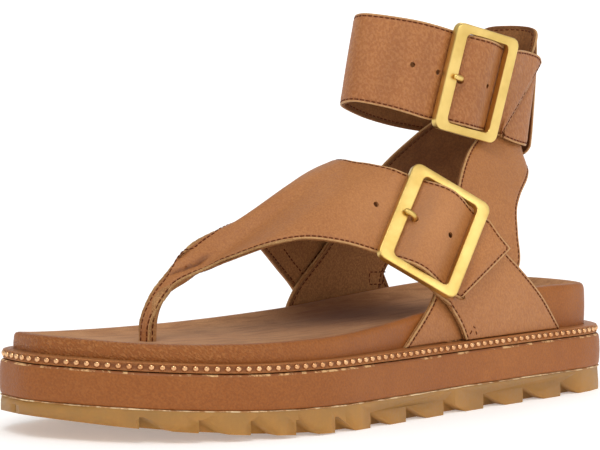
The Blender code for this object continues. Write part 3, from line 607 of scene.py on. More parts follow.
class CutLeather:
    """One strap as it lies on the shoe: points of its outer face, and how they join.

    points, normals: place and outward direction at each vertex
    thick:           thickness of the strap at each vertex
    shade:           painted shade at each vertex, in the folds and near the buckles
    along:           distance along the strap at each vertex
    rims:            chains of vertices along the cut edges
    rim_points:      the same edges as a fine line of points
    edge:            distance of each vertex from the nearest cut edge
    faced:           the points with creases and the stitched channel pressed in
    extra_rows:      rows of vertices grown from the grid's edge
    """

    def __init__(self, rows, side, step=1.5, columns=16):
        full = [tuple(row) + (STRAP_THICK,) if len(row) == 7 else tuple(row) for row in rows]
        lines, self.keys = strap_lines(full, step)
        left, right, crown = lines[:, 0:3], lines[:, 3:6], lines[:, 6]
        share = self.cross_shares(np.linalg.norm(right - left, axis=1), columns)
        grid = left[:, None] * (1 - share)[..., None] + right[:, None] * share[..., None]
        grid = grid + self.outward(grid) * (side * crown[:, None] * 4 * share * (1 - share))[..., None]
        self.count, self.across = grid.shape[:2]
        self.points = grid.reshape(-1, 3)
        self.normals = (self.outward(grid) * side).reshape(-1, 3)
        self.thick = np.repeat(lines[:, 7], self.across)
        middle = grid[:, self.across // 2]
        self.along = np.repeat(run_length(middle), self.across)
        self.extra_rows = []
        self.shade = np.zeros(len(self.points))

    @staticmethod
    def cross_shares(width, columns):
        """Shares across each cross line, close together near both edges."""
        near = np.array([0.0, 0.6, 1.15, 1.75, 2.35, 3.1, 4.4])
        left = near[None, :] / width[:, None]
        middle = np.linspace(0.0, 1.0, columns + 2)[1:-1]
        start = left[:, -1:]
        between = start + (1 - 2 * start) * middle[None, :]
        return np.concatenate([left, between, 1 - left[:, ::-1]], axis=1)

    @staticmethod
    def outward(grid):
        return unit(np.cross(np.gradient(grid, axis=0), np.gradient(grid, axis=1)))

    def nearest(self, places):
        """The vertex nearest to each place."""
        return np.array([self.tree.find(Vector(place))[1] for place in places])

    def off_strap(self, places):
        """Distance of each place from its nearest vertex."""
        return np.array([self.tree.find(Vector(place))[2] for place in places])

    def vertex_at(self, place):
        return int(np.argmin(np.linalg.norm(self.points - np.array(place), axis=1)))

    def chain(self, *stops):
        """Vertices along straight runs of the grid, from stop to stop (row, column)."""
        found = []
        for (r0, c0), (r1, c1) in zip(stops, stops[1:]):
            steps = max(abs(r1 - r0), abs(c1 - c0))
            for k in range(steps + 1):
                row = r0 + (r1 - r0) * k // max(steps, 1)
                column = c0 + (c1 - c0) * k // max(steps, 1)
                index = row * self.across + column
                if not found or found[-1] != index:
                    found.append(index)
        return found


def grow_post(leather):
    """Toe post grown from the front edge of the band: more rows of vertices after those of the grid."""
    first = leather.keys[POST_FROM_ROW]
    last = leather.keys[POST_TO_ROW]
    top = [row * leather.across for row in range(first, last + 1)]
    further_in = [vertex + 5 for vertex in top]
    start = leather.points[top]
    ghost = start - unit(start - leather.points[further_in]) * 6.0
    share = run_length(start)
    share = share / share[-1]
    keys = [ghost, start]
    for row in np.array(POST_FACE, float):
        left, right = row[:3], row[3:]
        keys.append(left + (right - left) * share[:, None])
    keys = np.array(keys)
    columns = []
    for j in range(len(top)):
        lane = keys[:, j]
        fine = smooth_curve(lane, 24 * (len(lane) - 1) + 1)
        from_top = int(np.argmin(np.linalg.norm(fine - lane[1], axis=1)))
        columns.append(even_steps(np.vstack([lane[1], fine[from_top + 1:]]), POST_STEPS))
    rows = np.array(columns).transpose(1, 0, 2)
    bulge = 4 * share * (1 - share)
    outwards = unit(np.cross(np.gradient(rows, axis=1), np.gradient(rows, axis=0)))
    swell = np.clip(np.arange(POST_STEPS) / 6.0, 0.0, 1.0) * 0.55
    rows = rows + outwards * (bulge[None, :] * swell[:, None])[..., None]
    normals = unit(np.cross(np.gradient(rows, axis=1), np.gradient(rows, axis=0)))
    total = len(leather.points)
    width = len(top)
    fresh = POST_STEPS - 1
    post = [top] + [list(range(total + k * width, total + (k + 1) * width)) for k in range(fresh)]
    leather.points = np.concatenate([leather.points, rows[1:].reshape(-1, 3)])
    leather.normals = np.concatenate([leather.normals, normals[1:].reshape(-1, 3)])
    leather.thick = np.concatenate([leather.thick, np.full(fresh * width, POST_THICK)])
    reach = np.concatenate([run_length(rows[:, 0])[1:, None]] * width, axis=1)
    leather.along = np.concatenate([leather.along, POST_RUN + reach.reshape(-1)])
    leather.extra_rows = post
    leather.shade = np.zeros(len(leather.points))
    return post


def near_rim(leather):
    """Distance of every vertex from the nearest cut edge, worked out in parts to save memory."""
    parts = []
    for start in range(0, len(leather.points), 2000):
        part = leather.points[start:start + 2000]
        gap = np.linalg.norm(part[:, None] - leather.rim_points[None], axis=2)
        parts.append(gap.min(axis=1))
    return np.concatenate(parts)


def crease(points, start, end, width):
    """Share, from 0 to 1, that each point takes in a soft fold between two places on a strap."""
    start, end = np.array(start, float), np.array(end, float)
    run = end - start
    share = np.clip((points - start) @ run / (run @ run), 0.0, 1.0)
    gap = np.linalg.norm(points - (start + share[:, None] * run), axis=1)
    fade = np.sqrt(np.clip(4 * share * (1 - share), 0.15, 1.0))
    return fade * np.exp(-(gap / width) ** 2)


def lay_sheet(name, leather, face, back, cut):
    """Closed sheet of leather from the points of its face and of its back."""
    lay_down()
    bpy.ops.mesh.primitive_grid_add(x_subdivisions=leather.across - 1, y_subdivisions=leather.count - 1,
                                    size=0.1)
    sheet = bpy.context.object
    sheet.name = name
    sheet.data.name = name
    lattice = leather.count * leather.across
    face, back = metres(face), metres(back)
    set_points(sheet, face[:lattice])
    order = list(range(lattice))
    for upper_row, lower_row in zip(leather.extra_rows, leather.extra_rows[1:]):
        order = extrude_row(sheet, order, upper_row, lower_row, face)
    order = np.array(order)
    open_mesh(sheet, "FACE")
    bpy.ops.mesh.select_all(action="SELECT")
    bpy.ops.mesh.extrude_region_move()
    close_mesh(sheet)
    laid = np.concatenate([face[order], back[order]])
    set_points(sheet, laid)
    values = np.stack([leather.along, leather.edge], axis=1)[order]
    corners = corner_vertices(sheet)
    paint_run(sheet, np.concatenate([values, values])[corners])
    shade = sheet.data.attributes.new("shade", "FLOAT", "POINT")
    shade.data.foreach_set("value", np.tile(leather.shade[order], 2).astype(np.float32))
    on_back = corners.reshape(-1, 4) >= len(order)
    coat = np.where(on_back.all(axis=1), BACK_SIDE, np.where(on_back.any(axis=1), CUT_SIDE, FACE_SIDE))
    sheet.data.polygons.foreach_set("material_index", coat)
    face_outwards(sheet)
    mesh = open_mesh(sheet, "EDGE")
    for edge in mesh.edges:
        kinds = {f.material_index for f in edge.link_faces}
        if len(kinds) > 1:
            edge.select_set(True)
    bmesh.update_edit_mesh(sheet.data)
    bpy.ops.mesh.bevel(offset=cut * MM, segments=3, profile=0.55, affect="EDGES", material=CUT_SIDE)
    close_mesh(sheet)
    tuck_in(sheet, laid)
    return smooth_faces(sheet, 50.0)


def finder_of(points):
    """Search tree that finds the nearest of the points."""
    tree = KDTree(len(points))
    for index, point in enumerate(points):
        tree.insert(Vector(point), index)
    tree.balance()
    return tree


def tuck_in(sheet, laid):
    """Brings back any corner that the rounding of the cut edge threw off the strap."""
    tree = finder_of(laid)
    for vert in sheet.data.vertices:
        place, _, gap = tree.find(vert.co)
        if gap > ON_THE_STRAP * MM:
            vert.co = place
    sheet.data.update()


def extrude_row(sheet, order, upper_row, lower_row, face):
    """Extrudes a chain of edges and sets the new vertices; order keeps the leather's vertex numbers."""
    place = {number: index for index, number in enumerate(order)}
    chain = [place[number] for number in upper_row]
    mesh = open_mesh(sheet, "EDGE")
    for a, b in zip(chain, chain[1:]):
        edge = mesh.edges.get((mesh.verts[a], mesh.verts[b]))
        edge.select_set(True)
    mesh.select_flush_mode()
    bmesh.update_edit_mesh(sheet.data)
    bpy.ops.mesh.extrude_edges_move()
    mesh = bmesh.from_edit_mesh(sheet.data)
    mesh.verts.ensure_lookup_table()
    mesh.verts.index_update()
    came_from = {}
    for vert in mesh.verts:
        if vert.index >= len(order):
            for edge in vert.link_edges:
                other = edge.other_vert(vert)
                if other.index < len(order):
                    came_from[other.index] = vert
    grown = list(order) + [None] * len(chain)
    for old, number in zip(chain, lower_row):
        vert = came_from[old]
        vert.co = Vector(face[number])
        grown[vert.index] = number
    close_mesh(sheet)
    return grown


# ---------------------------------------------------------------- finishes


def new_finish(name):
    """A new material, its shader and the place on the shoe in metres."""
    finish = bpy.data.materials.new(name)
    finish.use_nodes = True
    shader = finish.node_tree.nodes["Principled BSDF"]
    place = finish.node_tree.nodes.new("ShaderNodeTexCoord").outputs["Object"]
    return finish, shader, place


def wire(finish, value, socket):
    """Wires an output to a socket, or sets the socket to a number or colour."""
    if isinstance(value, bpy.types.NodeSocket):
        finish.node_tree.links.new(value, socket)
    else:
        socket.default_value = value


def lay_on(finish, shader, tone, rough, specular, shape):
    """Colour, roughness, strength of the reflection and relief of a surface."""
    wire(finish, tone, shader.inputs["Base Color"])
    wire(finish, rough, shader.inputs["Roughness"])
    shader.inputs["Specular IOR Level"].default_value = specular
    wire(finish, shape, shader.inputs["Normal"])
    return finish


def strap_place(finish):
    """Distance along the piece and distance from its cut edge, in metres."""
    return finish.node_tree.nodes.new("ShaderNodeTexCoord").outputs["UV"]


def stretched(finish, place, long, turn=(0.0, 0.0, 0.0)):
    """Place turned, then drawn out along its axes, so that a pattern becomes that much longer."""
    mapping = finish.node_tree.nodes.new("ShaderNodeMapping")
    mapping.vector_type = "TEXTURE"
    wire(finish, place, mapping.inputs["Vector"])
    mapping.inputs["Scale"].default_value = long
    mapping.inputs["Rotation"].default_value = [math.radians(a) for a in turn]
    return mapping.outputs["Vector"]


def clouds(finish, place, scale, detail, rough=0.55, twist=0.0):
    """Soft irregular pattern from 0 to 1."""
    noise = finish.node_tree.nodes.new("ShaderNodeTexNoise")
    wire(finish, place, noise.inputs["Vector"])
    noise.inputs["Scale"].default_value = scale
    noise.inputs["Detail"].default_value = detail
    noise.inputs["Roughness"].default_value = rough
    noise.inputs["Distortion"].default_value = twist
    return noise.outputs["Fac"]


def cells(finish, place, scale):
    """Pebbled pattern: distance from the middle of each cell."""
    voronoi = finish.node_tree.nodes.new("ShaderNodeTexVoronoi")
    wire(finish, place, voronoi.inputs["Vector"])
    voronoi.inputs["Scale"].default_value = scale
    return voronoi.outputs["Distance"]


def waves(finish, place, scale, twist=0.0, detail=2.0, axis="X"):
    """Even stripes from 0 to 1."""
    wave = finish.node_tree.nodes.new("ShaderNodeTexWave")
    wave.bands_direction = axis
    wire(finish, place, wave.inputs["Vector"])
    wave.inputs["Scale"].default_value = scale
    wave.inputs["Distortion"].default_value = twist
    wave.inputs["Detail"].default_value = detail
    return wave.outputs["Fac"]


def sums(finish, kind, a, b=0.0, c=0.0):
    node = finish.node_tree.nodes.new("ShaderNodeMath")
    node.operation = kind
    wire(finish, a, node.inputs[0])
    wire(finish, b, node.inputs[1])
    wire(finish, c, node.inputs[2])
    return node.outputs["Value"]


def painted_fold_shade(finish):
    """Painted shade of a strap, set at each vertex along its folds and near its buckles."""
    worn = finish.node_tree.nodes.new("ShaderNodeAttribute")
    worn.attribute_name = "shade"
    return worn.outputs["Fac"]


def parts_of(finish, vector):
    node = finish.node_tree.nodes.new("ShaderNodeSeparateXYZ")
    wire(finish, vector, node.inputs["Vector"])
    return node.outputs["X"], node.outputs["Y"], node.outputs["Z"]


def between(finish, value, low, high, to_low=0.0, to_high=1.0):
    """Eases from to_low to to_high as the value goes from low to high."""
    node = finish.node_tree.nodes.new("ShaderNodeMapRange")
    node.interpolation_type = "SMOOTHSTEP"
    wire(finish, value, node.inputs["Value"])
    node.inputs["From Min"].default_value = low
    node.inputs["From Max"].default_value = high
    node.inputs["To Min"].default_value = to_low
    node.inputs["To Max"].default_value = to_high
    return node.outputs["Result"]


def band_at(finish, value, middle, half):
    """1 at the middle value, falling to 0 at half the band's width from it."""
    away = sums(finish, "ABSOLUTE", sums(finish, "SUBTRACT", value, middle))
    return between(finish, away, half, 0.0)


def product(finish, a, b):
    return sums(finish, "MULTIPLY", a, b)


def tint(finish, share, first, second):
    """First colour with a share of the second mixed in."""
    node = finish.node_tree.nodes.new("ShaderNodeMix")
    node.data_type = "RGBA"
    wire(finish, share, node.inputs["Factor"])
    wire(finish, first, node.inputs[6])
    wire(finish, second, node.inputs[7])
    return node.outputs[2]


def relief(finish, height, depth, under=None, strength=1.0):
    """Bump of a height from 0 to 1 that is depth metres deep, over another bump."""
    node = finish.node_tree.nodes.new("ShaderNodeBump")
    node.inputs["Strength"].default_value = strength
    node.inputs["Distance"].default_value = depth
    wire(finish, height, node.inputs["Height"])
    if under is not None:
        wire(finish, under, node.inputs["Normal"])
    return node.outputs["Normal"]


def rgb(red, green, blue):
    """Colour from the usual 0 to 255 values of a swatch."""
    tone = []
    for value in (red, green, blue):
        value = value / 255.0
        tone.append(value / 12.92 if value <= 0.04045 else ((value + 0.055) / 1.055) ** 2.4)
    return (*tone, 1.0)


def smooth_tan_leather(name, creased):
    """Full-grain tan leather with a stitched channel beside its cut edges.

    creased: 0 for the smooth straps, 1 for the ankle band with its rougher, redder grain
    """
    finish, shader, place = new_finish(name)
    along, edge, _ = parts_of(finish, strap_place(finish))
    _, back, height = parts_of(finish, place)
    tan, light_tan, red_tan = rgb(168, 108, 55), rgb(178, 117, 62), rgb(144, 78, 32)
    drift = between(finish, clouds(finish, place, 22.0, 2.0), 0.32, 0.68)
    patches = between(finish, clouds(finish, place, 210.0, 3.0, 0.6, 0.3), 0.34, 0.70)
    grain = clouds(finish, place, 1350.0, 3.0, 0.6)
    tone = tint(finish, drift, tan, light_tan)
    tone = tint(finish, product(finish, patches, 0.26), tone, rgb(160, 97, 49))
    tone = tint(finish, 0.03 + 0.26 * creased, tone, red_tan)
    tone = tint(finish, between(finish, grain, 0.38, 0.66, 0.38, 0.0), tone, rgb(134, 74, 35))

    # fine pale lines where the grain is drawn out
    slant = stretched(finish, place, (1.0, 1.0, 3.4), (28.0, 34.0, 0.0))
    wrinkles = clouds(finish, slant, 1150.0 + 350.0 * (1.0 - creased), 2.0, 0.5, 0.2)
    lines = between(finish, wrinkles, 0.42, 0.62)
    tone = tint(finish, product(finish, lines, 0.18 + 0.08 * creased), tone, rgb(204, 144, 90))

    # painted highlight where the instep band bends over the foot
    painted_highlight = product(finish, band_at(finish, back, 0.018, 0.040), band_at(finish, height, 0.074, 0.026))
    tone = tint(finish, product(finish, painted_highlight, 0.32), tone, rgb(208, 148, 96))

    # painted shade in the stitched channel and in the folds, raw at the very edge
    channel = band_at(finish, edge, STITCH_INSET * MM, 0.75 * MM)
    tone = tint(finish, product(finish, channel, 0.40), tone, rgb(118, 64, 32))
    tone = tint(finish, painted_fold_shade(finish), tone, rgb(82, 40, 18))
    skived = between(finish, edge, 0.75 * MM, 0.45 * MM)
    fibres = between(finish, clouds(finish, place, 700.0, 3.0, 0.6), 0.34, 0.6, 0.45, 0.9)
    tone = tint(finish, product(finish, skived, fibres), tone, rgb(192, 150, 98))

    shape = relief(finish, patches, 0.00006)
    shape = relief(finish, lines, 0.00003 + 0.00005 * creased, shape)
    shape = relief(finish, cells(finish, place, 1700.0), 0.00004, shape, 0.6)
    pucker = product(finish, channel, waves(finish, along, math.pi / (10.0 * STITCH_PITCH * MM)))
    shape = relief(finish, sums(finish, "SUBTRACT", 1.0, pucker), 0.00010, shape)
    return lay_on(finish, shader, tone, between(finish, grain, 0.3, 0.7, 0.43, 0.62), 0.42, shape)


def lining_leather(name, light, dark):
    """Unfinished lining leather of the inside of the straps, with painted light that makes it paler near the
    footbed.
    """
    finish, shader, place = new_finish(name)
    _, edge, _ = parts_of(finish, strap_place(finish))
    _, _, height = parts_of(finish, place)
    patches = between(finish, clouds(finish, place, 60.0, 4.0, 0.6), 0.3, 0.7)
    grain = clouds(finish, place, 1300.0, 4.0, 0.7)
    tone = tint(finish, patches, dark, light)
    # painted light: paler lower down, near the footbed
    tone = tint(finish, between(finish, height, 0.075, 0.048, 0.0, 0.75), tone, rgb(200, 142, 88))
    tone = tint(finish, between(finish, grain, 0.35, 0.7, 0.5, 0.0), tone, rgb(84, 48, 22))
    # painted shade in the stitched channel
    channel = band_at(finish, edge, STITCH_INSET * MM, 0.8 * MM)
    tone = tint(finish, product(finish, channel, 0.45), tone, rgb(64, 34, 15))
    shape = relief(finish, grain, 0.00012)
    shape = relief(finish, cells(finish, place, 700.0), 0.00008, shape)
    shape = relief(finish, sums(finish, "SUBTRACT", 1.0, channel), 0.00010, shape)
    return lay_on(finish, shader, tone, between(finish, grain, 0.3, 0.7, 0.68, 0.85), 0.25, shape)


def raw_edge(name, light, dark):
    """Cut edge of leather: pale fibres with darker burnished stretches."""
    finish, shader, place = new_finish(name)
    fibres = clouds(finish, place, 1700.0, 4.0, 0.75)
    stretch = between(finish, clouds(finish, place, 110.0, 3.0, 0.6), 0.35, 0.65)
    tone = tint(finish, stretch, dark, light)
    tone = tint(finish, between(finish, fibres, 0.40, 0.66, 0.55, 0.0), tone, rgb(112, 68, 38))
    rough = between(finish, fibres, 0.3, 0.7, 0.78, 0.95)
    return lay_on(finish, shader, tone, rough, 0.2, relief(finish, fibres, 0.00022))


def waxed_thread(name):
    finish, shader, place = new_finish(name)
    twist = waves(finish, place, 420.0, 3.0, 2.0, "DIAGONAL")
    tone = tint(finish, twist, rgb(72, 30, 10), rgb(108, 52, 20))
    rough = between(finish, twist, 0.2, 0.8, 0.62, 0.8)
    return lay_on(finish, shader, tone, rough, 0.15, relief(finish, twist, 0.00008))


def wrapped_leather(name, light, mid, dark, beaded=False):
    """Leather stretched round the platform and the footbed, finely wrinkled at the toe.

    beaded: painted shade in the groove round the row of beads
    """
    finish, shader, place = new_finish(name)
    _, back, height = parts_of(finish, place)
    drift = between(finish, clouds(finish, place, 20.0, 2.0), 0.3, 0.7)
    patches = between(finish, clouds(finish, place, 90.0, 3.0, 0.55), 0.32, 0.70)
    grain = clouds(finish, place, 1250.0, 3.0, 0.6)
    tone = tint(finish, drift, mid, light)
    tone = tint(finish, product(finish, patches, 0.30), tone, dark)
    # painted shade: darker towards the toe
    tone = tint(finish, between(finish, back, 0.070, -0.080, 0.0, 0.55), tone, dark)
    tone = tint(finish, between(finish, grain, 0.36, 0.70, 0.34, 0.0), tone, rgb(100, 52, 19))

    # slanting wrinkles, gathered above the welt towards the toe
    slant = stretched(finish, place, (2.2, 1.0, 1.0), (0.0, 38.0, 40.0))
    lines = between(finish, clouds(finish, slant, 1400.0, 2.0, 0.5, 0.3), 0.44, 0.62)
    toe = between(finish, back, -0.040, -0.100)
    gathered = product(finish, toe, between(finish, height, 0.0265, 0.029, 0.12, 1.0))
    fold = product(finish, lines, sums(finish, "MULTIPLY_ADD", gathered, 0.85, 0.15))
    tone = tint(finish, product(finish, fold, 0.30), tone, rgb(196, 134, 76))
    if beaded:
        _, row, _ = parts_of(finish, strap_place(finish))
        # painted shade in the groove where the beads sit
        bead_shade = band_at(finish, row, 0.0, 1.5 * MM)
        tone = tint(finish, product(finish, bead_shade, 0.65), tone, rgb(92, 46, 20))
    shape = relief(finish, patches, 0.00005)
    shape = relief(finish, fold, 0.00018, shape)
    shape = relief(finish, cells(finish, place, 1500.0), 0.00005, shape, 0.7)
    return lay_on(finish, shader, tone, between(finish, grain, 0.3, 0.7, 0.38, 0.56), 0.24, shape)


def brushed_nubuck(name):
    """Foot side of the footbed: brushed grey-brown leather with streaks along the shoe."""
    finish, shader, place = new_finish(name)
    across, back, _ = parts_of(finish, place)
    brushed = stretched(finish, place, (1.0, 5.0, 1.0), (0.0, 0.0, -8.0))
    streaks = clouds(finish, brushed, 360.0, 4.0, 0.6, 0.5)
    patches = between(finish, clouds(finish, place, 48.0, 3.0, 0.6), 0.32, 0.68)
    nap = clouds(finish, place, 1900.0, 3.0, 0.7)
    tone = tint(finish, patches, rgb(186, 130, 80), rgb(198, 143, 93))
    tone = tint(finish, between(finish, streaks, 0.42, 0.66, 0.0, 0.5), tone, rgb(142, 90, 50))
    # painted shadow of the straps on the footbed
    strap_shadow = product(finish, band_at(finish, across, -0.014, 0.036),
                           band_at(finish, back, 0.018, 0.040))
    tone = tint(finish, product(finish, strap_shadow, 0.75), tone, rgb(112, 58, 24))
    tone = tint(finish, between(finish, nap, 0.38, 0.7, 0.3, 0.0), tone, rgb(104, 66, 38))
    shader.inputs["Sheen Weight"].default_value = 0.08
    shader.inputs["Sheen Roughness"].default_value = 0.6
    shape = relief(finish, nap, 0.00010, relief(finish, streaks, 0.00012))
    return lay_on(finish, shader, tone, between(finish, nap, 0.3, 0.7, 0.82, 0.95), 0.2, shape)


def gum_rubber(name):
    """Honey-coloured crepe rubber, a little translucent and warmer towards the ground."""
    finish, shader, place = new_finish(name)
    _, _, height = parts_of(finish, place)
    drift = between(finish, clouds(finish, place, 30.0, 3.0, 0.6), 0.3, 0.7)
    specks = clouds(finish, place, 900.0, 3.0, 0.6)
    murk = between(finish, clouds(finish, place, 75.0, 3.0, 0.6, 0.4), 0.40, 0.66, 0.0, 0.45)
    low = between(finish, height, 0.011, 0.001)
    tone = tint(finish, drift, rgb(150, 108, 50), rgb(168, 120, 54))
    tone = tint(finish, murk, tone, rgb(140, 106, 54))
    tone = tint(finish, product(finish, low, 0.45), tone, rgb(190, 132, 48))
    tone = tint(finish, between(finish, specks, 0.38, 0.7, 0.22, 0.0), tone, rgb(142, 96, 42))
    shader.inputs["Subsurface Weight"].default_value = 0.25
    shader.inputs["Subsurface Radius"].default_value = (1.0, 0.55, 0.2)
    shader.inputs["Subsurface Scale"].default_value = 0.0035
    shape = relief(finish, specks, 0.00005, relief(finish, drift, 0.0002))
    return lay_on(finish, shader, tone, between(finish, specks, 0.3, 0.7, 0.42, 0.56), 0.45, shape)


def cement(name, under, pale, start, full):
    """Pale cement or frayed edge that shows in places along a joint."""
    finish, shader, place = new_finish(name)
    breaks = clouds(finish, place, 260.0, 4.0, 0.7)
    tone = tint(finish, between(finish, breaks, start, full), under, pale)
    rough = between(finish, breaks, 0.3, 0.7, 0.5, 0.7)
    return lay_on(finish, shader, tone, rough, 0.5, relief(finish, breaks, 0.0002))


def satin_metal(name, light, dark, rough):
    """Plated metal with a fine satin finish."""
    finish, shader, place = new_finish(name)
    drift = between(finish, clouds(finish, place, 60.0, 3.0, 0.6), 0.35, 0.65)
    satin = clouds(finish, stretched(finish, place, (1.0, 1.0, 5.0)), 3200.0, 2.0, 0.6)
    shader.inputs["Metallic"].default_value = 1.0
    spread = between(finish, satin, 0.3, 0.7, rough - 0.05, rough + 0.07)
    shape = relief(finish, satin, 0.00002, None, 0.5)
    return lay_on(finish, shader, tint(finish, drift, dark, light), spread, 0.5, shape)


tan_leather = smooth_tan_leather("tan_leather", 0.0)
creased_tan_leather = smooth_tan_leather("creased_tan_leather", 1.0)
brown_lining = lining_leather("brown_lining", rgb(160, 108, 62), rgb(136, 86, 46))
# darker copy of the lining leather: painted shade on the toe post's lining
painted_shade_lining = lining_leather("painted_shade_lining", rgb(96, 58, 30), rgb(78, 44, 22))
pale_raw_edge = raw_edge("pale_raw_edge", rgb(202, 162, 110), rgb(172, 130, 82))
post_suede = raw_edge("post_suede", rgb(196, 148, 98), rgb(178, 128, 80))
brown_thread = waxed_thread("brown_thread")
platform_leather = wrapped_leather("platform_leather", rgb(169, 103, 48), rgb(160, 94, 42), rgb(140, 78, 31))
welt_leather = wrapped_leather("welt_leather", rgb(180, 118, 66), rgb(172, 110, 60), rgb(154, 94, 48),
                               beaded=True)
footbed_nubuck = brushed_nubuck("footbed_nubuck")
honey_gum = gum_rubber("honey_gum")
pale_cement = cement("pale_cement", rgb(176, 122, 70), rgb(232, 205, 160), 0.40, 0.58)
frayed_edge = cement("frayed_edge", rgb(140, 82, 40), rgb(214, 172, 118), 0.50, 0.62)
satin_brass = satin_metal("satin_brass", rgb(232, 200, 122), rgb(214, 180, 102), 0.36)
copper_bead = satin_metal("copper_bead", rgb(232, 184, 136), rgb(206, 150, 102), 0.24)

# ---------------------------------------------------------------- sole

WELT_LINE = smooth_curve(WELT_OUTLINE, ROUND_SOLE, closed=True)
ROUND_ALONG = run_length(np.vstack([WELT_LINE, WELT_LINE[:1]]))
ROUND_TOTAL = float(ROUND_ALONG[-1])


def outline_normals():
    """Direction out of the sole at each point of the welt outline."""
    tangent = unit(np.roll(WELT_LINE, -1, axis=0) - np.roll(WELT_LINE, 1, axis=0))
    return np.stack([tangent[:, 1], -tangent[:, 0]], axis=1)


def outline(offset):
    """Welt outline moved outwards by an offset, one number or one for each point."""
    return WELT_LINE + outline_normals() * np.broadcast_to(offset, len(WELT_LINE))[:, None]


def ring_at(offset, height):
    """Ring of points round the sole, at an offset from the welt outline."""
    flat = outline(offset)
    return np.column_stack([flat, np.broadcast_to(height, len(flat))])


def layer_height(column):
    return np.maximum(level(column, WELT_LINE[:, 1]), 0.0)


def stack_rings(name, rings, closing):
    """Skin through closed rings of points, made by extruding a circle from ring to ring.

    closing: ends (both ends filled) or hollow (the last ring joined to the first)
    Returns the piece and the vertex numbers of each ring.
    """
    rings = [metres(ring) for ring in rings]
    around = len(rings[0])
    lay_down()
    bpy.ops.mesh.primitive_circle_add(vertices=around, radius=0.1)
    piece = bpy.context.object
    piece.name = name
    piece.data.name = name
    set_points(piece, rings[0])
    open_mesh(piece, "EDGE")
    bpy.ops.mesh.select_all(action="SELECT")
    order = list(range(around))
    for ring in rings[1:]:
        bpy.ops.mesh.extrude_edges_move()
        mesh = bmesh.from_edit_mesh(piece.data)
        mesh.verts.ensure_lookup_table()
        mesh.verts.index_update()
        fresh = {}
        for vert in mesh.verts:
            if vert.select:
                for edge in vert.link_edges:
                    other = edge.other_vert(vert)
                    if not other.select:
                        fresh[other.index] = vert
        order_now = [fresh[old].index for old in order]
        for old, point in zip(order, ring):
            fresh[old].co = Vector(point)
        order = order_now
    close_mesh(piece)
    chains = ring_chains(piece, around, len(rings))
    mesh = open_mesh(piece, "EDGE")
    if closing == "hollow":
        first, last = chains[0], chains[-1]
        for i in range(around):
            j = (i + 1) % around
            mesh.faces.new([mesh.verts[k] for k in (last[i], last[j], first[j], first[i])])
    if closing == "ends":
        for chain in (chains[0], chains[-1]):
            for i in range(around // 2):
                left, right = (around - i) % around, (around - i - 1) % around
                corners = list(dict.fromkeys([chain[i], chain[i + 1], chain[right], chain[left]]))
                mesh.faces.new([mesh.verts[k] for k in corners])
    close_mesh(piece)
    return face_outwards(piece), chains


def ring_chains(piece, around, total):
    """Vertex numbers of each ring, in order; extruding adds them ring by ring."""
    links = {}
    for edge in piece.data.edges:
        a, b = edge.vertices
        links.setdefault(a, []).append(b)
        links.setdefault(b, []).append(a)
    chains = [list(range(around))]
    for number in range(1, total):
        low, high = number * around, (number + 1) * around
        chains.append([next(k for k in links[old] if low <= k < high) for old in chains[-1]])
    return chains


def paint_round(piece, chains, heights):
    """UV map of a ring skin: distance round the shoe and a height for each ring."""
    values = np.zeros((len(piece.data.vertices), 2))
    for chain, height in zip(chains, heights):
        values[chain, 0] = ROUND_ALONG[:-1]
        values[chain, 1] = height
    values = values[corner_vertices(piece)]
    for face in piece.data.polygons:
        span = slice(face.loop_start, face.loop_start + face.loop_total)
        run = values[span, 0]
        if run.max() - run.min() > ROUND_TOTAL / 2:
            values[span, 0] = np.where(run < ROUND_TOTAL / 2, run + ROUND_TOTAL, run)
    paint_run(piece, values)


def coat_between(piece, vertices):
    """Second material on the faces that lie wholly on the given vertices."""
    vertices = set(vertices)
    for face in piece.data.polygons:
        if set(face.vertices) <= vertices:
            face.material_index = 1


def make_outsole():
    """Gum outsole: the cut lugs of the frame's outsole with softened moulded edges."""
    source = frame["nodes"]["outsole"]
    outsole = source.copy()
    outsole.data = source.data.copy()
    outsole.name = "gum_outsole"
    for key in list(outsole.keys()):
        del outsole[key]
    outsole.parent = None
    outsole.matrix_world = Matrix.Identity(4)
    bpy.context.scene.collection.objects.link(outsole)
    open_mesh(outsole, "VERT")
    bpy.ops.mesh.select_all(action="SELECT")
    bpy.ops.mesh.remove_doubles(threshold=0.00002)
    bpy.ops.mesh.select_all(action="SELECT")
    bpy.ops.mesh.dissolve_limited(angle_limit=math.radians(1.0))
    close_mesh(outsole)
    finish_modifier(outsole, "BEVEL", width=LUG_ROUNDING * MM, segments=3, limit_method="ANGLE",
                    angle_limit=math.radians(35.0), use_clamp_overlap=True)
    clear_slivers(outsole)
    dress(outsole, honey_gum)
    smooth_faces(outsole, 40.0)
    return settle(outsole, "outsole")


def make_midsole():
    """Platform wrapped in leather, with a frayed rim at its top."""
    bottom = layer_height(OUTSOLE_TOP)
    top = layer_height(MIDSOLE_TOP)
    middle = (bottom + top) / 2
    profile = [
        (-6.0, bottom + 0.45), (0.2, bottom + 0.45), (0.75, bottom + 0.6), (1.1, bottom + 1.0),
        (1.32, bottom + 1.7), (1.46, bottom + 3.2), (1.55, middle), (1.45, top - 3.4), (1.28, top - 1.9),
        (1.12, top - 1.0), (1.0, top - 0.62), (0.8, top - 0.36), (0.3, top - 0.02), (-0.1, top + 0.02),
        (-0.4, top - 0.1), (-6.0, top - 0.1),
    ]
    midsole, chains = stack_rings("wrapped_midsole", [ring_at(o, h) for o, h in profile], "ends")
    paint_round(midsole, chains, [float(np.mean(height)) for _, height in profile])
    dress(midsole, platform_leather, frayed_edge)
    coat_between(midsole, chains[10] + chains[11] + chains[12] + chains[13])
    smooth_faces(midsole, 60.0)
    return settle(midsole, "midsole")


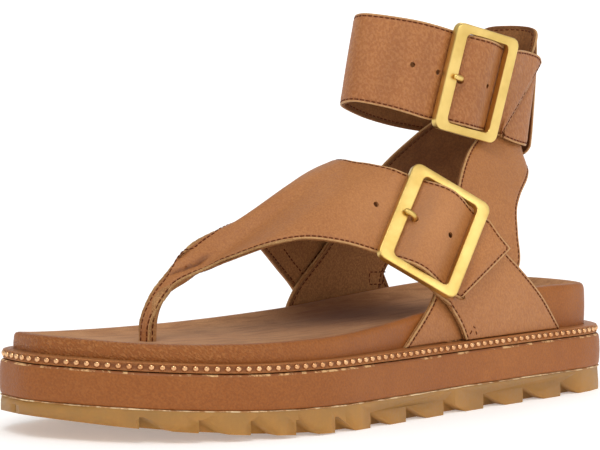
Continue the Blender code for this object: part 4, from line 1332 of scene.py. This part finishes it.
def make_cement_line():
    """Uneven line of cement between the midsole and the outsole."""
    joint = layer_height(OUTSOLE_TOP)
    count = np.arange(ROUND_SOLE)
    waver = 0.10 * np.sin(count * 0.71) + 0.08 * np.sin(count * 1.93 + 1.0) + 0.06 * np.sin(count * 3.1)
    thick = 0.40 + 0.10 * np.sin(count * 0.37 + 2.0) + 0.07 * np.sin(count * 1.3)
    profile = [
        (0.0, joint + 0.03), (1.02 + waver, joint + 0.03), (1.22 + waver, joint + 0.16),
        (1.2 + waver, joint + thick * 0.8), (0.95, joint + thick), (0.0, joint + 0.44),
    ]
    line, _ = stack_rings("cement_line", [ring_at(o, h) for o, h in profile], "hollow")
    dress(line, pale_cement)
    smooth_faces(line, 60.0)
    return trim(line)


def bead_height(u):
    return level(1, u, BEAD_LINE)


def make_welt():
    """Welt strip with a groove in its side, in which the beads sit."""
    base = layer_height(MIDSOLE_TOP)
    top = layer_height(WELT_TOP)
    row = bead_height(WELT_LINE[:, 1])
    inset = level(1, WELT_LINE[:, 1], FOOTBED_INSET)
    profile = [
        (-inset + LAYER_GAP, base + 0.3), (-0.5, base + 0.3), (0.0, base + 0.34), (0.24, base + 0.55),
        (0.3, row - 1.35), (0.26, row - 1.12), (0.02, row - 0.92), (-0.02, row), (0.02, row + 0.92),
        (0.26, row + 1.12), (0.3, top - 0.36), (0.2, top - 0.14), (-0.1, top), (-1.4, top + 0.02),
        (-inset * 0.6, top), (-inset + LAYER_GAP, top),
    ]
    welt, chains = stack_rings("beaded_welt", [ring_at(o, h) for o, h in profile], "hollow")
    from_beads = [0.0, 0.0, -2.0, -1.8, -1.35, -1.12, -0.92, 0.0, 0.92, 1.12, 1.4, 1.6, 1.9, 3.0, 5.0, 7.0]
    paint_round(welt, chains, from_beads)
    dress(welt, welt_leather)
    smooth_faces(welt, 60.0)
    return settle(welt, "welt")


def make_beads():
    """Small domed beads all round the welt, modelled once and copied."""
    lay_down()
    bpy.ops.mesh.primitive_uv_sphere_add(segments=10, ring_count=8, radius=BEAD_RADIUS * MM)
    master = bpy.context.object
    open_mesh(master, "FACE")
    bpy.ops.mesh.select_all(action="SELECT")
    bpy.ops.mesh.bisect(plane_co=(0, 0, 0), plane_no=(0, 0, 1), clear_inner=True, use_fill=True)
    bpy.ops.mesh.select_all(action="SELECT")
    bpy.ops.transform.resize(value=(1.0, 1.0, BEAD_DOME))
    close_mesh(master)
    line = np.column_stack([WELT_LINE, outline_normals()])
    line = np.vstack([line, line[:1]])
    count = round(ROUND_TOTAL / BEAD_PITCH)
    at = (np.arange(count) + 0.5) * ROUND_TOTAL / count
    spots = np.stack([np.interp(at, ROUND_ALONG, line[:, k]) for k in range(4)], axis=1)
    copies = []
    for x, u, nx, nu in spots:
        out = bench_direction(unit(np.array([nx, nu, 0.0])))
        side = out.cross(Vector((0.0, 0.0, 1.0))).normalized()
        turn = turned_to(side, out.cross(side), out)
        spot = metres(np.array([x, u, float(bead_height(u))])) + np.array(out) * -BEAD_SINK * MM
        copies.append(copy_to(master, Matrix.Translation(Vector(spot)) @ turn))
    bpy.data.objects.remove(master)
    beads = join_pieces("welt_beads", copies)
    face_outwards(beads)
    dress(beads, copper_bead)
    smooth_faces(beads, 80.0)
    return trim(beads)


def make_footbed():
    """Footbed wrapped in leather, dished for the foot."""
    inset = level(1, WELT_LINE[:, 1], FOOTBED_INSET)
    inner_side = np.clip((MID_X - WELT_LINE[:, 0]) / 30.0, 0.0, 1.0)
    rim = level(FOOTBED_RIM, WELT_LINE[:, 1]) - level(RIM_DROP, WELT_LINE[:, 1]) * inner_side
    base = layer_height(MIDSOLE_TOP)
    shelf = layer_height(WELT_TOP)
    floor = level(FOOTBED_FLOOR, WELT_LINE[:, 1])
    rings = [ring_at(-inset - 6.0, base + 0.3), ring_at(-inset, base + 0.3), ring_at(-inset, shelf - 0.4)]
    for share, bulge in FOOTBED_WALL:
        height = shelf + (rim - FOOTBED_SHOULDER - shelf) * share
        rings.append(ring_at(-inset + bulge, height))
    wall = len(rings)
    for inward, share in FOOTBED_DISH:
        flat = outline(-inset - inward)
        depth = np.minimum(floor - rim, -2.6)
        height = rim + (floor - rim) * share if inward > 0.85 else rim + depth * share
        rings.append(np.column_stack([flat, height]))
    last = rings[-1]
    spine_u = np.clip(last[:, 1], *SPINE_ENDS)
    spine = np.column_stack([np.interp(spine_u, *centre_line()), spine_u])
    for share, sunk in DISH_TO_SPINE:
        flat = last[:, :2] * (1 - share) + spine * share
        depth = (level(FOOTBED_FLOOR, flat[:, 1]) - rim) * sunk
        rings.append(np.column_stack([flat, rim + depth]))
    footbed, chains = stack_rings("footbed", rings, "ends")
    dress(footbed, platform_leather, footbed_nubuck)
    coat_between(footbed, sum(chains[wall + 5:], []))
    smooth_faces(footbed, 60.0)
    return settle(footbed, "footbed")


def centre_line():
    """Middle of the sole across the shoe at each u, for joining the footbed's rings."""
    u = np.linspace(10.0, 250.0, 60)
    heel = int(np.argmin(WELT_LINE[:, 1]))
    toe = int(np.argmax(WELT_LINE[:, 1]))
    line = np.roll(WELT_LINE, -heel, axis=0)
    toe = (toe - heel) % ROUND_SOLE
    outer = line[:toe + 1]
    inner = np.vstack([line[toe:], line[:1]])[::-1]
    outer_x = np.interp(u, outer[:, 1], outer[:, 0])
    inner_x = np.interp(u, inner[:, 1], inner[:, 0])
    return u, (outer_x + inner_x) / 2


# ---------------------------------------------------------------- stitches


def model_stitch():
    """One stitch of thread: a short bar whose ends dive into the leather."""
    lay_down()
    bpy.ops.mesh.primitive_cylinder_add(vertices=7, radius=STITCH_RADIUS * MM, depth=STITCH_BAR * MM,
                                        end_fill_type="NGON", rotation=(0.0, math.pi / 2, 0.0))
    stitch = bpy.context.object
    bpy.ops.object.transform_apply(location=True, rotation=True, scale=True)
    for side in (-1, 1):
        for run, sink, size in STITCH_ENDS:
            mesh = open_mesh(stitch, "FACE")
            for face in mesh.faces:
                if len(face.verts) == 7 and face.calc_center_median().x * side > 0.4 * MM:
                    face.select_set(True)
            bmesh.update_edit_mesh(stitch.data)
            step = (side * run * MM, 0, -sink * MM)
            bpy.ops.mesh.extrude_region_move(TRANSFORM_OT_translate={"value": step})
            mesh = bmesh.from_edit_mesh(stitch.data)
            cap = [v for v in mesh.verts if v.select]
            middle = sum((v.co for v in cap), Vector()) / len(cap)
            for vert in cap:
                vert.co = middle + (vert.co - middle) * size
            close_mesh(stitch)
    return stitch


def stitch_path(leather, chain, inset, back=False):
    """Line on the strap at an even distance from a cut edge, with the outward direction at each point."""
    rim = even_steps(leather.points[chain], max(8, int(run_length(leather.points[chain])[-1] / 0.9)))
    outward = leather.normals[leather.nearest(rim)]
    tangent = unit(np.gradient(rim, axis=0))
    inward = unit(np.cross(outward, tangent))
    if leather.off_strap(rim + inward * 2.0).mean() > leather.off_strap(rim - inward * 2.0).mean():
        inward = -inward
    line = rim + inward * inset
    clear = np.array([np.linalg.norm(leather.rim_points - point, axis=1).min() for point in line])
    line = line[clear > inset * 0.90]
    for _ in range(2):
        near = leather.nearest(line)
        line = lay_down_on(leather, line, near)
        smooth = line.copy()
        smooth[1:-1] = (line[:-2] + line[1:-1] * 2 + line[2:]) / 4
        line = smooth
    return through(leather, line, near, back)


def tack_path(leather, corners, back=False):
    """Straight stitched lines from corner to corner on a strap."""
    line = []
    for a, b in zip(corners, corners[1:]):
        line += [np.array(a) + (np.array(b) - np.array(a)) * t for t in np.linspace(0.0, 1.0, 6)]
    near = leather.nearest(line)
    return through(leather, lay_down_on(leather, np.array(line), near), near, back)


def lay_down_on(leather, line, near):
    """Line of points moved straight onto the leather beside its nearest vertices."""
    outward = leather.normals[near]
    return line - outward * np.sum((line - leather.faced[near]) * outward, axis=1)[:, None]


def through(leather, line, near, back):
    """Line and its outward direction, on the face of the strap or taken through to its back."""
    outward = leather.normals[near]
    if back:
        return line - outward * leather.thick[near][:, None], -outward
    return line, outward


def sew(name, paths, lift=0.02):
    """Stitches along lines on the leather, each a copy of one modelled stitch."""
    master = model_stitch()
    copies = []
    for line, outward in paths:
        along = run_length(line)
        count = int(along[-1] / STITCH_PITCH)
        for spot in (np.arange(count) + 0.5) * along[-1] / max(count, 1):
            ahead = at_run(min(spot + 0.6, along[-1]), along, line)
            behind = at_run(max(spot - 0.6, 0.0), along, line)
            forward = bench_direction(ahead - behind).normalized()
            out = unit(at_run(spot, along, outward))
            side = bench_direction(out).cross(forward).normalized()
            turn = turned_to(forward, side, forward.cross(side))
            place = Vector(metres(at_run(spot, along, line) + out * lift))
            copies.append(copy_to(master, Matrix.Translation(place) @ turn))
    bpy.data.objects.remove(master)
    seam = join_pieces(name, copies)
    dress(seam, brown_thread)
    smooth_faces(seam, 70.0)
    return trim(seam)


# ---------------------------------------------------------------- straps


def finish_strap(name, leather, coat, node, holes=(), creases=(), sewn=None, inside=True, tacks=(),
                 inner_tacks=(), cut=CUT_ROUNDING, insets=()):
    """Outer leather, lining and stitches of one strap.

    holes:       place, outward direction and radius of each punched hole
    creases:     start, end, width, depth (ridge below 0) and darkness (painted shade) of each fold
    sewn:        chains of vertices to stitch along, if not all the rims
    insets:      how far from each of those the stitches lie
    tacks:       corners of further lines of stitches on the face
    inner_tacks: and on the lining
    """
    leather.rim_points = np.concatenate(
        [even_steps(leather.points[chain], 3 * len(chain)) for chain in leather.rims])
    leather.edge = near_rim(leather)
    rise = -0.20 * np.exp(-((leather.edge - STITCH_INSET) / 0.5) ** 2)
    rise += 0.08 * np.exp(-((leather.edge - STITCH_INSET - 1.6) / 1.0) ** 2)
    # each fold sinks the strap, and its darkness paints shade into it
    for start, end, width, depth, dark in creases:
        fold = crease(leather.points, start, end, width)
        rise -= fold * depth
        leather.shade = np.maximum(leather.shade, fold * dark)
    leather.faced = leather.points + leather.normals * rise[:, None]
    leather.tree = finder_of(leather.points)
    through_strap = leather.normals * leather.thick[:, None]
    outer = lay_sheet(name, leather, leather.faced, leather.points - through_strap * OUTER_BACK, cut)
    dress(outer, coat, brown_lining, pale_raw_edge)
    inner = lay_sheet(name + "_lining", leather, leather.points - through_strap * LINING_FACE,
                      leather.points - through_strap, cut * 0.6)
    dress(inner, brown_lining, brown_lining, pale_raw_edge)
    for place, outward, radius in holes:
        punch([outer, inner], place, outward, radius)
    for piece in (outer, inner):
        settle(piece, node)
    chains = sewn or leather.rims
    insets = insets or [STITCH_INSET] * len(chains)
    paths = [stitch_path(leather, chain, inset) for chain, inset in zip(chains, insets)]
    paths += [tack_path(leather, corners) for corners in tacks]
    sew(name + "_stitches", paths)
    if inside:
        paths = [stitch_path(leather, chain, INSIDE_INSET, back=True) for chain in chains]
        paths += [tack_path(leather, corners, back=True) for corners in inner_tacks]
        sew(name + "_inside_stitches", paths, lift=-0.06)


def punch(pieces, place, outward, radius):
    """Punched hole through the layers of a strap."""
    lay_down()
    bpy.ops.mesh.primitive_cylinder_add(vertices=24, radius=radius * MM, depth=HOLE_DEPTH * MM)
    cutter = bpy.context.object
    up = bench_direction(outward).normalized()
    turn = up.to_track_quat("Z", "Y").to_matrix().to_4x4()
    cutter.data.transform(Matrix.Translation(Vector(metres(place))) @ turn)
    for piece in pieces:
        finish_modifier(piece, "BOOLEAN", operation="DIFFERENCE", solver="EXACT", object=cutter)
    bpy.data.objects.remove(cutter)


def lean_instep(leather):
    """Sinks the instep a little towards the toe and swells it towards the throat."""
    stops = [leather.keys[row] for row, _ in INSTEP_LEAN]
    lean = np.interp(np.arange(leather.count), stops, [amount for _, amount in INSTEP_LEAN])
    share = np.linspace(0.0, 1.0, leather.across)
    wave = np.sin(2 * math.pi * share) * np.clip(share / 0.2, 0.0, 1.0)
    lift = -lean[:, None] * wave[None, :]
    leather.points = leather.points + leather.normals * lift.reshape(-1, 1)


def make_instep_band():
    """Instep band with the toe post grown from its front edge."""
    rows = (list(BAND_ROWS) + rows_at_buckle(INSTEP_BUCKLE, INSTEP_APPROACH + BUCKLE_PASS)
            + list(BAND_END_ROWS))
    leather = CutLeather(rows, -1, 1.0, 46)
    lean_instep(leather)
    post = grow_post(leather)
    first, last = leather.keys[POST_FROM_ROW], leather.keys[POST_TO_ROW]
    far, wide = leather.count - 1, leather.across - 1
    front = leather.chain((0, 0), (first, 0)) + [row[0] for row in post[1:]]
    round_end = [row[-1] for row in post[:0:-1]]
    round_end += leather.chain((last, 0), (far, 0), (far, wide), (0, wide))
    leather.rims = [front, round_end]
    creases = (
        # start, end, width, depth, dark
        ((-10.4, 194.8, 53.6), (-7.8, 189.0, 55.7), 0.5, 1.5, 1.0),
        ((-8.4, 190.6, 55.3), (-6.7, 184.4, 57.3), 0.55, 1.7, 1.0),
        ((-6.8, 185.8, 56.8), (-6.9, 180.0, 59.9), 0.9, 0.8, 0.7),
        ((-10.6, 188.6, 57.6), (-9.0, 180.0, 61.4), 2.2, -0.7, 0.0),
        shade_across(INSTEP_BUCKLE, -9.0, -7.0, 16.0, 4.5, 0.22),
        shade_across(INSTEP_BUCKLE, 9.0, 9.0, 16.0, 3.0, 0.12),
    )
    out = buckle_axes(INSTEP_BUCKLE)[3]
    free, under_buckle = leather.vertex_at((21.2, 122.8, 77.8)), leather.vertex_at((36.3, 98.8, 66.2))
    holes = [(at_buckle(INSTEP_BUCKLE, -8.7, 0.3, -1.8), out, 1.35),
             (leather.points[free], leather.normals[free], 1.1),
             (leather.points[under_buckle], out, 1.1)]
    panel = [((-30.1, 125.4, 58.9), (-33.5, 112.3, 47.8), (-32.1, 100.7, 60.0))]
    finish_strap("instep_band", leather, tan_leather, "upper", holes, creases, inner_tacks=panel,
                 insets=(1.8, STITCH_INSET))
    make_flap_edge(leather)


def shade_across(spec, low_w, high_w, reach, width, dark):
    """Painted shade, without a crease, right across a strap near its buckle."""
    return at_buckle(spec, low_w, -reach, 0.0), at_buckle(spec, high_w, reach, 0.0), width, 0.0, dark


def both_edges(leather, first=0):
    """Chains of vertices along the two long edges of a strap, from its first row to its end."""
    far, wide = leather.count - 1, leather.across - 1
    return [leather.chain((first, 0), (far, 0)), leather.chain((first, wide), (far, wide))]


def make_base_strap():
    """Strap that holds the instep buckle, folded round its bar."""
    rows = rows_at_buckle(INSTEP_BUCKLE, BUCKLE_FOLD + INSTEP_TAIL) + list(BASE_ROWS)
    base = CutLeather(rows, -1, 1.2, 16)
    base.rims = both_edges(base)
    tacks = [((37.3, 89.5, 28.0), (37.4, 86.9, 31.0), (36.5, 84.4, 27.4))]
    finish_strap("base_strap", base, tan_leather, "upper", sewn=both_edges(base, base.keys[SEWN_FROM_ROW]),
                 tacks=tacks)


def make_quarter():
    """Quarter: from the sole on one side, round behind the heel, to the sole on the other."""
    quarter = CutLeather(QUARTER_ROWS, 1, 1.6, 20)
    quarter.rims = both_edges(quarter)
    box = [((-31.0, 79.4, 46.8), (-31.3, 71.0, 46.5), (-31.1, 72.7, 41.3), (-31.0, 79.6, 41.8),
            (-31.0, 79.4, 46.8))]
    finish_strap("quarter", quarter, tan_leather, "upper", inner_tacks=box)


def make_ankle_band():
    """Band round the ankle: folded round its buckle, right round the heel and through the buckle."""
    rows = (rows_at_buckle(ANKLE_BUCKLE, BUCKLE_FOLD + ANKLE_TAIL) + list(ANKLE_ROWS)
            + rows_at_buckle(ANKLE_BUCKLE, ANKLE_APPROACH + BUCKLE_PASS) + list(ANKLE_END_ROWS))
    ankle = CutLeather(rows, -1, 1.3, 18)
    far, wide = ankle.count - 1, ankle.across - 1
    start = ankle.keys[SEWN_FROM_ROW]
    ankle.rims = [ankle.chain((0, 0), (far, 0), (far, wide), (0, wide))]
    sewn = [ankle.chain((start, 0), (far, 0), (far, wide), (start, wide))]
    out = buckle_axes(ANKLE_BUCKLE)[3]
    reach = ANKLE_BUCKLE[3] / INSTEP_BUCKLE[3]
    holes = [(at_buckle(ANKLE_BUCKLE, -8.5 * reach, -0.7, -1.8), out, 1.3),
             (at_buckle(ANKLE_BUCKLE, 4.6, 0.0, 0.5), out, 0.95)]
    for spot in ((9.9, 93.7, 129.1), (14.0, 85.0, 126.2)):
        vertex = ankle.vertex_at(spot)
        holes.append((ankle.points[vertex], ankle.normals[vertex], 1.05))
    creases = (
        # start, end, width, depth, dark
        ((7.1, 96.3, 144.0), (4.5, 105.2, 114.6), 4.5, 0.45, 0.16),
        ((10.4, 90.0, 143.0), (9.0, 99.0, 113.0), 3.0, -0.25, 0.0),
        ((-1.6, 104.5, 147.0), (-3.4, 112.0, 117.5), 3.2, 0.25, 0.13),
        ((12.2, 85.5, 143.0), (12.4, 93.0, 113.0), 4.0, 0.15, 0.14),
        # painted shade in the buckle's window and on the end beyond it
        shade_across(ANKLE_BUCKLE, 2.0, 2.0, 16.0, 9.0, 0.14),
        shade_across(ANKLE_BUCKLE, 27.0, 27.0, 18.0, 10.0, 0.20),
    )
    finish_strap("ankle_band", ankle, creased_tan_leather, "ankle_band", holes, creases, sewn=sewn)


def make_heel_loop():
    """Loop at the heel that holds the ankle band."""
    loop = CutLeather(HEEL_LOOP_ROWS, -1, 1.2, 6)
    far, wide = loop.count - 1, loop.across - 1
    loop.rims = [loop.chain((0, 0), (0, wide), (far, wide), (far, 0), (0, 0))]
    finish_strap("heel_loop", loop, tan_leather, "heel_loop", sewn=both_edges(loop), inside=False, cut=0.12)


def post_rings(table):
    """Rounded rectangles along the toe post, and the line along their outer side."""
    line = smooth_curve(table, 26)
    path, depth, half = line[:, 0:3], line[:, 3], line[:, 4]
    tangent = unit(np.gradient(path, axis=0))
    across = np.array([1.0, 0.0, 0.0])
    turn = 2 * np.pi * (np.arange(24) + 0.5) / 24
    ca, sa = np.cos(turn), np.sin(turn)
    soft = (np.abs(ca) ** 5 + np.abs(sa) ** 5) ** 0.2
    rings = []
    seam = []
    for point, run, d, w in zip(path, tangent, depth, half):
        forward = unit(np.cross(run, across))
        rings.append(point + forward * (d * ca / soft)[:, None] + across * (w * sa / soft)[:, None])
        seam.append(point + forward * d * 0.45 + across * w)
    return rings, np.array(seam)


def make_post_backing():
    """Suede padding of the toe post behind its front face, and the lining above it in a darker copy of the
    lining leather that paints its shade.
    """
    for name, table, finish in (("toe_post_backing", POST_BACKING, post_suede),
                                ("toe_post_lining", POST_LINING, painted_shade_lining)):
        padding, _ = stack_rings(name, post_rings(table)[0], "ends")
        dress(padding, finish)
        smooth_faces(padding, 60.0)
        settle(padding, "upper")
    seam = post_rings(POST_BACKING)[1]
    outward = np.tile(np.array([1.0, 0.0, 0.0]), (len(seam), 1))
    sew("toe_post_stitches", [(seam[:20], outward[:20])])


def make_flap_edge(leather):
    """Turned raw edge of the band beside the toe post: a thin roll along its cut edge."""
    front, round_end = leather.rims
    post_rows = len(leather.extra_rows)
    for name, chain, lift in (
        ("flap_edge_inner", front[-post_rows - 26:], 0.30),
        ("flap_edge_outer", round_end[:post_rows + 34], 0.10),
    ):
        line = even_steps(leather.points[chain], 130)
        outward = leather.normals[leather.nearest(line)]
        for _ in range(3):
            outward[1:-1] = (outward[:-2] + outward[1:-1] * 2 + outward[2:]) / 4
        outward = unit(outward)
        tangent = unit(np.gradient(line, axis=0))
        aside = unit(np.cross(tangent, outward))
        along = run_length(line)
        size = FLAP_ROLL * np.clip(np.minimum(along, along[-1] - along) / 6.0, 0.35, 1.0)
        size = size * (1.0 + 0.10 * np.sin(along * 1.9) + 0.07 * np.sin(along * 4.3 + 1.0))
        turn = 2 * np.pi * np.arange(10) / 10
        rings = []
        for point, out, side, r in zip(line, outward, aside, size):
            round_it = np.outer(np.cos(turn), out) * r + np.outer(np.sin(turn), side) * r
            rings.append(point + out * (lift - 0.45) + round_it)
        roll, _ = stack_rings(name, rings, "ends")
        dress(roll, pale_raw_edge)
        smooth_faces(roll, 60.0)
        settle(roll, "upper")


# ---------------------------------------------------------------- buckles


def lay_in_buckle(piece, spec):
    """Moves a piece modelled flat at the origin to its buckle: x along, y across, z out."""
    centre, along, _, out = buckle_axes(spec)
    x_axis = bench_direction(along)
    z_axis = bench_direction(out)
    y_axis = z_axis.cross(x_axis)
    piece.data.transform(Matrix.Translation(Vector(metres(centre))) @ turned_to(x_axis, y_axis, z_axis))
    piece.matrix_world = Matrix.Identity(4)


def rounded_plate(width, height, corner, slide=0.0):
    """Outline of a rectangle with rounded corners, without its face."""
    lay_down()
    bpy.ops.mesh.primitive_plane_add(size=1.0)
    plate = bpy.context.object
    shape = get_points(plate) * np.array([width, height, 1.0]) + np.array([slide, 0.0, 0.0])
    set_points(plate, shape * MM)
    open_mesh(plate, "VERT")
    bpy.ops.mesh.select_all(action="SELECT")
    bpy.ops.mesh.bevel(offset=corner * MM, segments=7, affect="VERTICES")
    bpy.ops.mesh.select_all(action="SELECT")
    bpy.ops.mesh.delete(type="ONLY_FACE")
    close_mesh(plate)
    return plate


def make_buckle(name, spec, node):
    """Flat brass frame with softened edges, and its middle bar."""
    width, height = spec[3], spec[4]
    rim = rounded_plate(width, height, BUCKLE_CORNER)
    slide = (BUCKLE_FRONT_BAR - BUCKLE_BAR) / 2
    window = rounded_plate(width - BUCKLE_BAR - BUCKLE_FRONT_BAR, height - 2 * BUCKLE_END_BAR,
                           WINDOW_CORNER, slide)
    buckle = join_pieces(name, [rim, window])
    open_mesh(buckle, "EDGE")
    bpy.ops.mesh.select_all(action="SELECT")
    bpy.ops.mesh.bridge_edge_loops()
    bpy.ops.mesh.select_all(action="SELECT")
    bpy.ops.mesh.extrude_region_move(TRANSFORM_OT_translate={"value": (0, 0, -BUCKLE_THICK * MM)})
    close_mesh(buckle)
    face_outwards(buckle)
    window_x = width / 2 - (BUCKLE_BAR + BUCKLE_FRONT_BAR) / 2 + 0.6
    window_y = height / 2 - BUCKLE_END_BAR + 0.6
    for rounding, inner, depth in FRAME_ROUNDING:
        mesh = open_mesh(buckle, "EDGE")
        for edge in mesh.edges:
            middle = (edge.verts[0].co + edge.verts[1].co) / 2 / MM
            level_edge = abs(edge.verts[0].co.z - edge.verts[1].co.z) < 1e-7
            on_this_face = abs(middle.z + depth) < 0.01
            sharp = edge.calc_face_angle(0.0) > 1.0
            in_window = abs(middle.x - slide) < window_x and abs(middle.y) < window_y
            if level_edge and sharp and on_this_face and in_window == inner:
                edge.select_set(True)
        bmesh.update_edit_mesh(buckle.data)
        bpy.ops.mesh.bevel(offset=rounding * MM, segments=5, profile=0.5, affect="EDGES")
        close_mesh(buckle)
    lay_down()
    bpy.ops.mesh.primitive_cylinder_add(vertices=20, radius=ROD_RADIUS * MM,
                                        depth=(height - BUCKLE_END_BAR) * MM,
                                        location=(0, 0, ROD_DEPTH * MM), rotation=(math.pi / 2, 0, 0))
    bar = bpy.context.object
    bpy.ops.object.transform_apply(location=True, rotation=True, scale=True)
    buckle = join_pieces(name, [buckle, bar])
    lay_in_buckle(buckle, spec)
    dress(buckle, satin_brass)
    smooth_faces(buckle, 40.0)
    return settle(buckle, node)


def make_prong(name, spec, node):
    """Bent prong from the middle bar through the strap onto the front bar."""
    reach = spec[3] / INSTEP_BUCKLE[3]
    keys = np.array([(w * reach, 0.0, n) for w, n in PRONG_LINE])
    line = smooth_curve(keys, 46)
    radius = np.full(len(line), PRONG_RADIUS)
    radius[-len(PRONG_TIP):] = PRONG_RADIUS * np.array(PRONG_TIP)
    tangent = unit(np.gradient(line, axis=0))
    across = np.array([0.0, 1.0, 0.0])
    turn = 2 * np.pi * np.arange(16) / 16
    rings = []
    for point, run, r in zip(line, tangent, radius):
        up = np.cross(run, across)
        ring = point + np.outer(np.cos(turn), across) * r + np.outer(np.sin(turn), up) * r * PRONG_FLAT
        rings.append(np.array([at_buckle(spec, *place) for place in ring]))
    prong, _ = stack_rings(name, rings, "ends")
    lay_down()
    bpy.ops.mesh.primitive_torus_add(major_segments=24, minor_segments=10,
                                     major_radius=LOOP_RADIUS * MM, minor_radius=LOOP_WIRE * MM,
                                     rotation=(math.pi / 2, 0, 0), location=(0, 0, ROD_DEPTH * MM))
    loop = bpy.context.object
    bpy.ops.object.transform_apply(location=True, rotation=True, scale=True)
    set_points(loop, get_points(loop) * np.array([1.0, LOOP_LONG, 1.0]))
    lay_in_buckle(loop, spec)
    prong = join_pieces(name, [prong, loop])
    dress(prong, satin_brass)
    smooth_faces(prong, 50.0)
    return settle(prong, node)


# ---------------------------------------------------------------- studio


def make_floor():
    """Pale floor that rises softly far behind the shoe."""
    finish, shader, place = new_finish("studio_floor")
    across, back, _ = parts_of(finish, place)
    away = sums(finish, "SQRT", sums(finish, "MULTIPLY_ADD", across, across, product(finish, back, back)))
    wire(finish, between(finish, clouds(finish, place, 1.5, 2.0), 0.3, 0.7, 0.90, 0.94),
         shader.inputs["Roughness"])
    wire(finish, between(finish, away, 0.5, 2.2, 0.27, 0.56), shader.inputs["Emission Strength"])
    shader.inputs["Base Color"].default_value = (0.93, 0.93, 0.93, 1.0)
    shader.inputs["Specular IOR Level"].default_value = 0.1
    shader.inputs["Emission Color"].default_value = (1.0, 1.0, 1.0, 1.0)
    lay_down()
    bpy.ops.mesh.primitive_circle_add(vertices=96, radius=FLOOR_RADIUS, fill_type="NGON")
    floor = bpy.context.object
    floor.name = "studio_floor"
    for run, rise in FLOOR_STEPS:
        mesh = open_mesh(floor, "EDGE")
        for edge in mesh.edges:
            if len(edge.link_faces) == 1:
                edge.select_set(True)
        bmesh.update_edit_mesh(floor.data)
        bpy.ops.mesh.extrude_edges_move()
        mesh = bmesh.from_edit_mesh(floor.data)
        for vert in mesh.verts:
            if vert.select:
                reach = math.hypot(vert.co.x, vert.co.y)
                vert.co.x *= (reach + run) / reach
                vert.co.y *= (reach + run) / reach
                vert.co.z += rise
        close_mesh(floor)
    smooth_faces(floor, 60.0)
    dress(floor, finish)


def set_lights():
    """Even white surroundings and three soft lamps."""
    world = bpy.data.worlds.new("studio")
    bpy.context.scene.world = world
    world.use_nodes = True
    sky = world.node_tree.nodes["Background"]
    sky.inputs["Color"].default_value = (1.0, 1.0, 1.0, 1.0)
    sky.inputs["Strength"].default_value = 0.58
    bpy.context.scene.view_settings.view_transform = "Standard"
    for name, spot, size, power, tone in SOFTBOXES:
        lamp = bpy.data.lights.new(name, "AREA")
        lamp.shape = "DISK"
        lamp.size = size
        lamp.energy = power
        lamp.color = tone
        holder = bpy.data.objects.new(name, lamp)
        bpy.context.scene.collection.objects.link(holder)
        holder.location = spot
        aim = Vector(AIM) - Vector(spot)
        holder.rotation_euler = aim.to_track_quat("-Z", "Y").to_euler()


def set_camera():
    lens = bpy.data.cameras.new("studio_camera")
    lens.sensor_width = 36.0
    lens.lens = CAMERA_LENS
    lens.clip_start = 0.02
    camera = bpy.data.objects.new("studio_camera", lens)
    bpy.context.scene.collection.objects.link(camera)
    back = Vector(CAMERA_BACK).normalized()
    up = back.cross(Vector(CAMERA_RIGHT).normalized()).normalized()
    stand = turned_to(up.cross(back), up, back)
    camera.matrix_world = Matrix.Translation(Vector(CAMERA_PLACE)) @ stand
    bpy.context.scene.camera = camera


# ---------------------------------------------------------------- the shoe

make_outsole()
make_cement_line()
make_midsole()
make_welt()
make_beads()
make_footbed()
make_instep_band()
make_base_strap()
make_quarter()
make_ankle_band()
make_heel_loop()
make_post_backing()
make_buckle("instep_buckle_frame", INSTEP_BUCKLE, "instep_buckle")
make_buckle("ankle_buckle_frame", ANKLE_BUCKLE, "ankle_buckle")
make_prong("instep_buckle_prong", INSTEP_BUCKLE, "instep_prong")
make_prong("ankle_buckle_prong", ANKLE_BUCKLE, "ankle_prong")
make_floor()
set_lights()
set_camera()
lay_down()
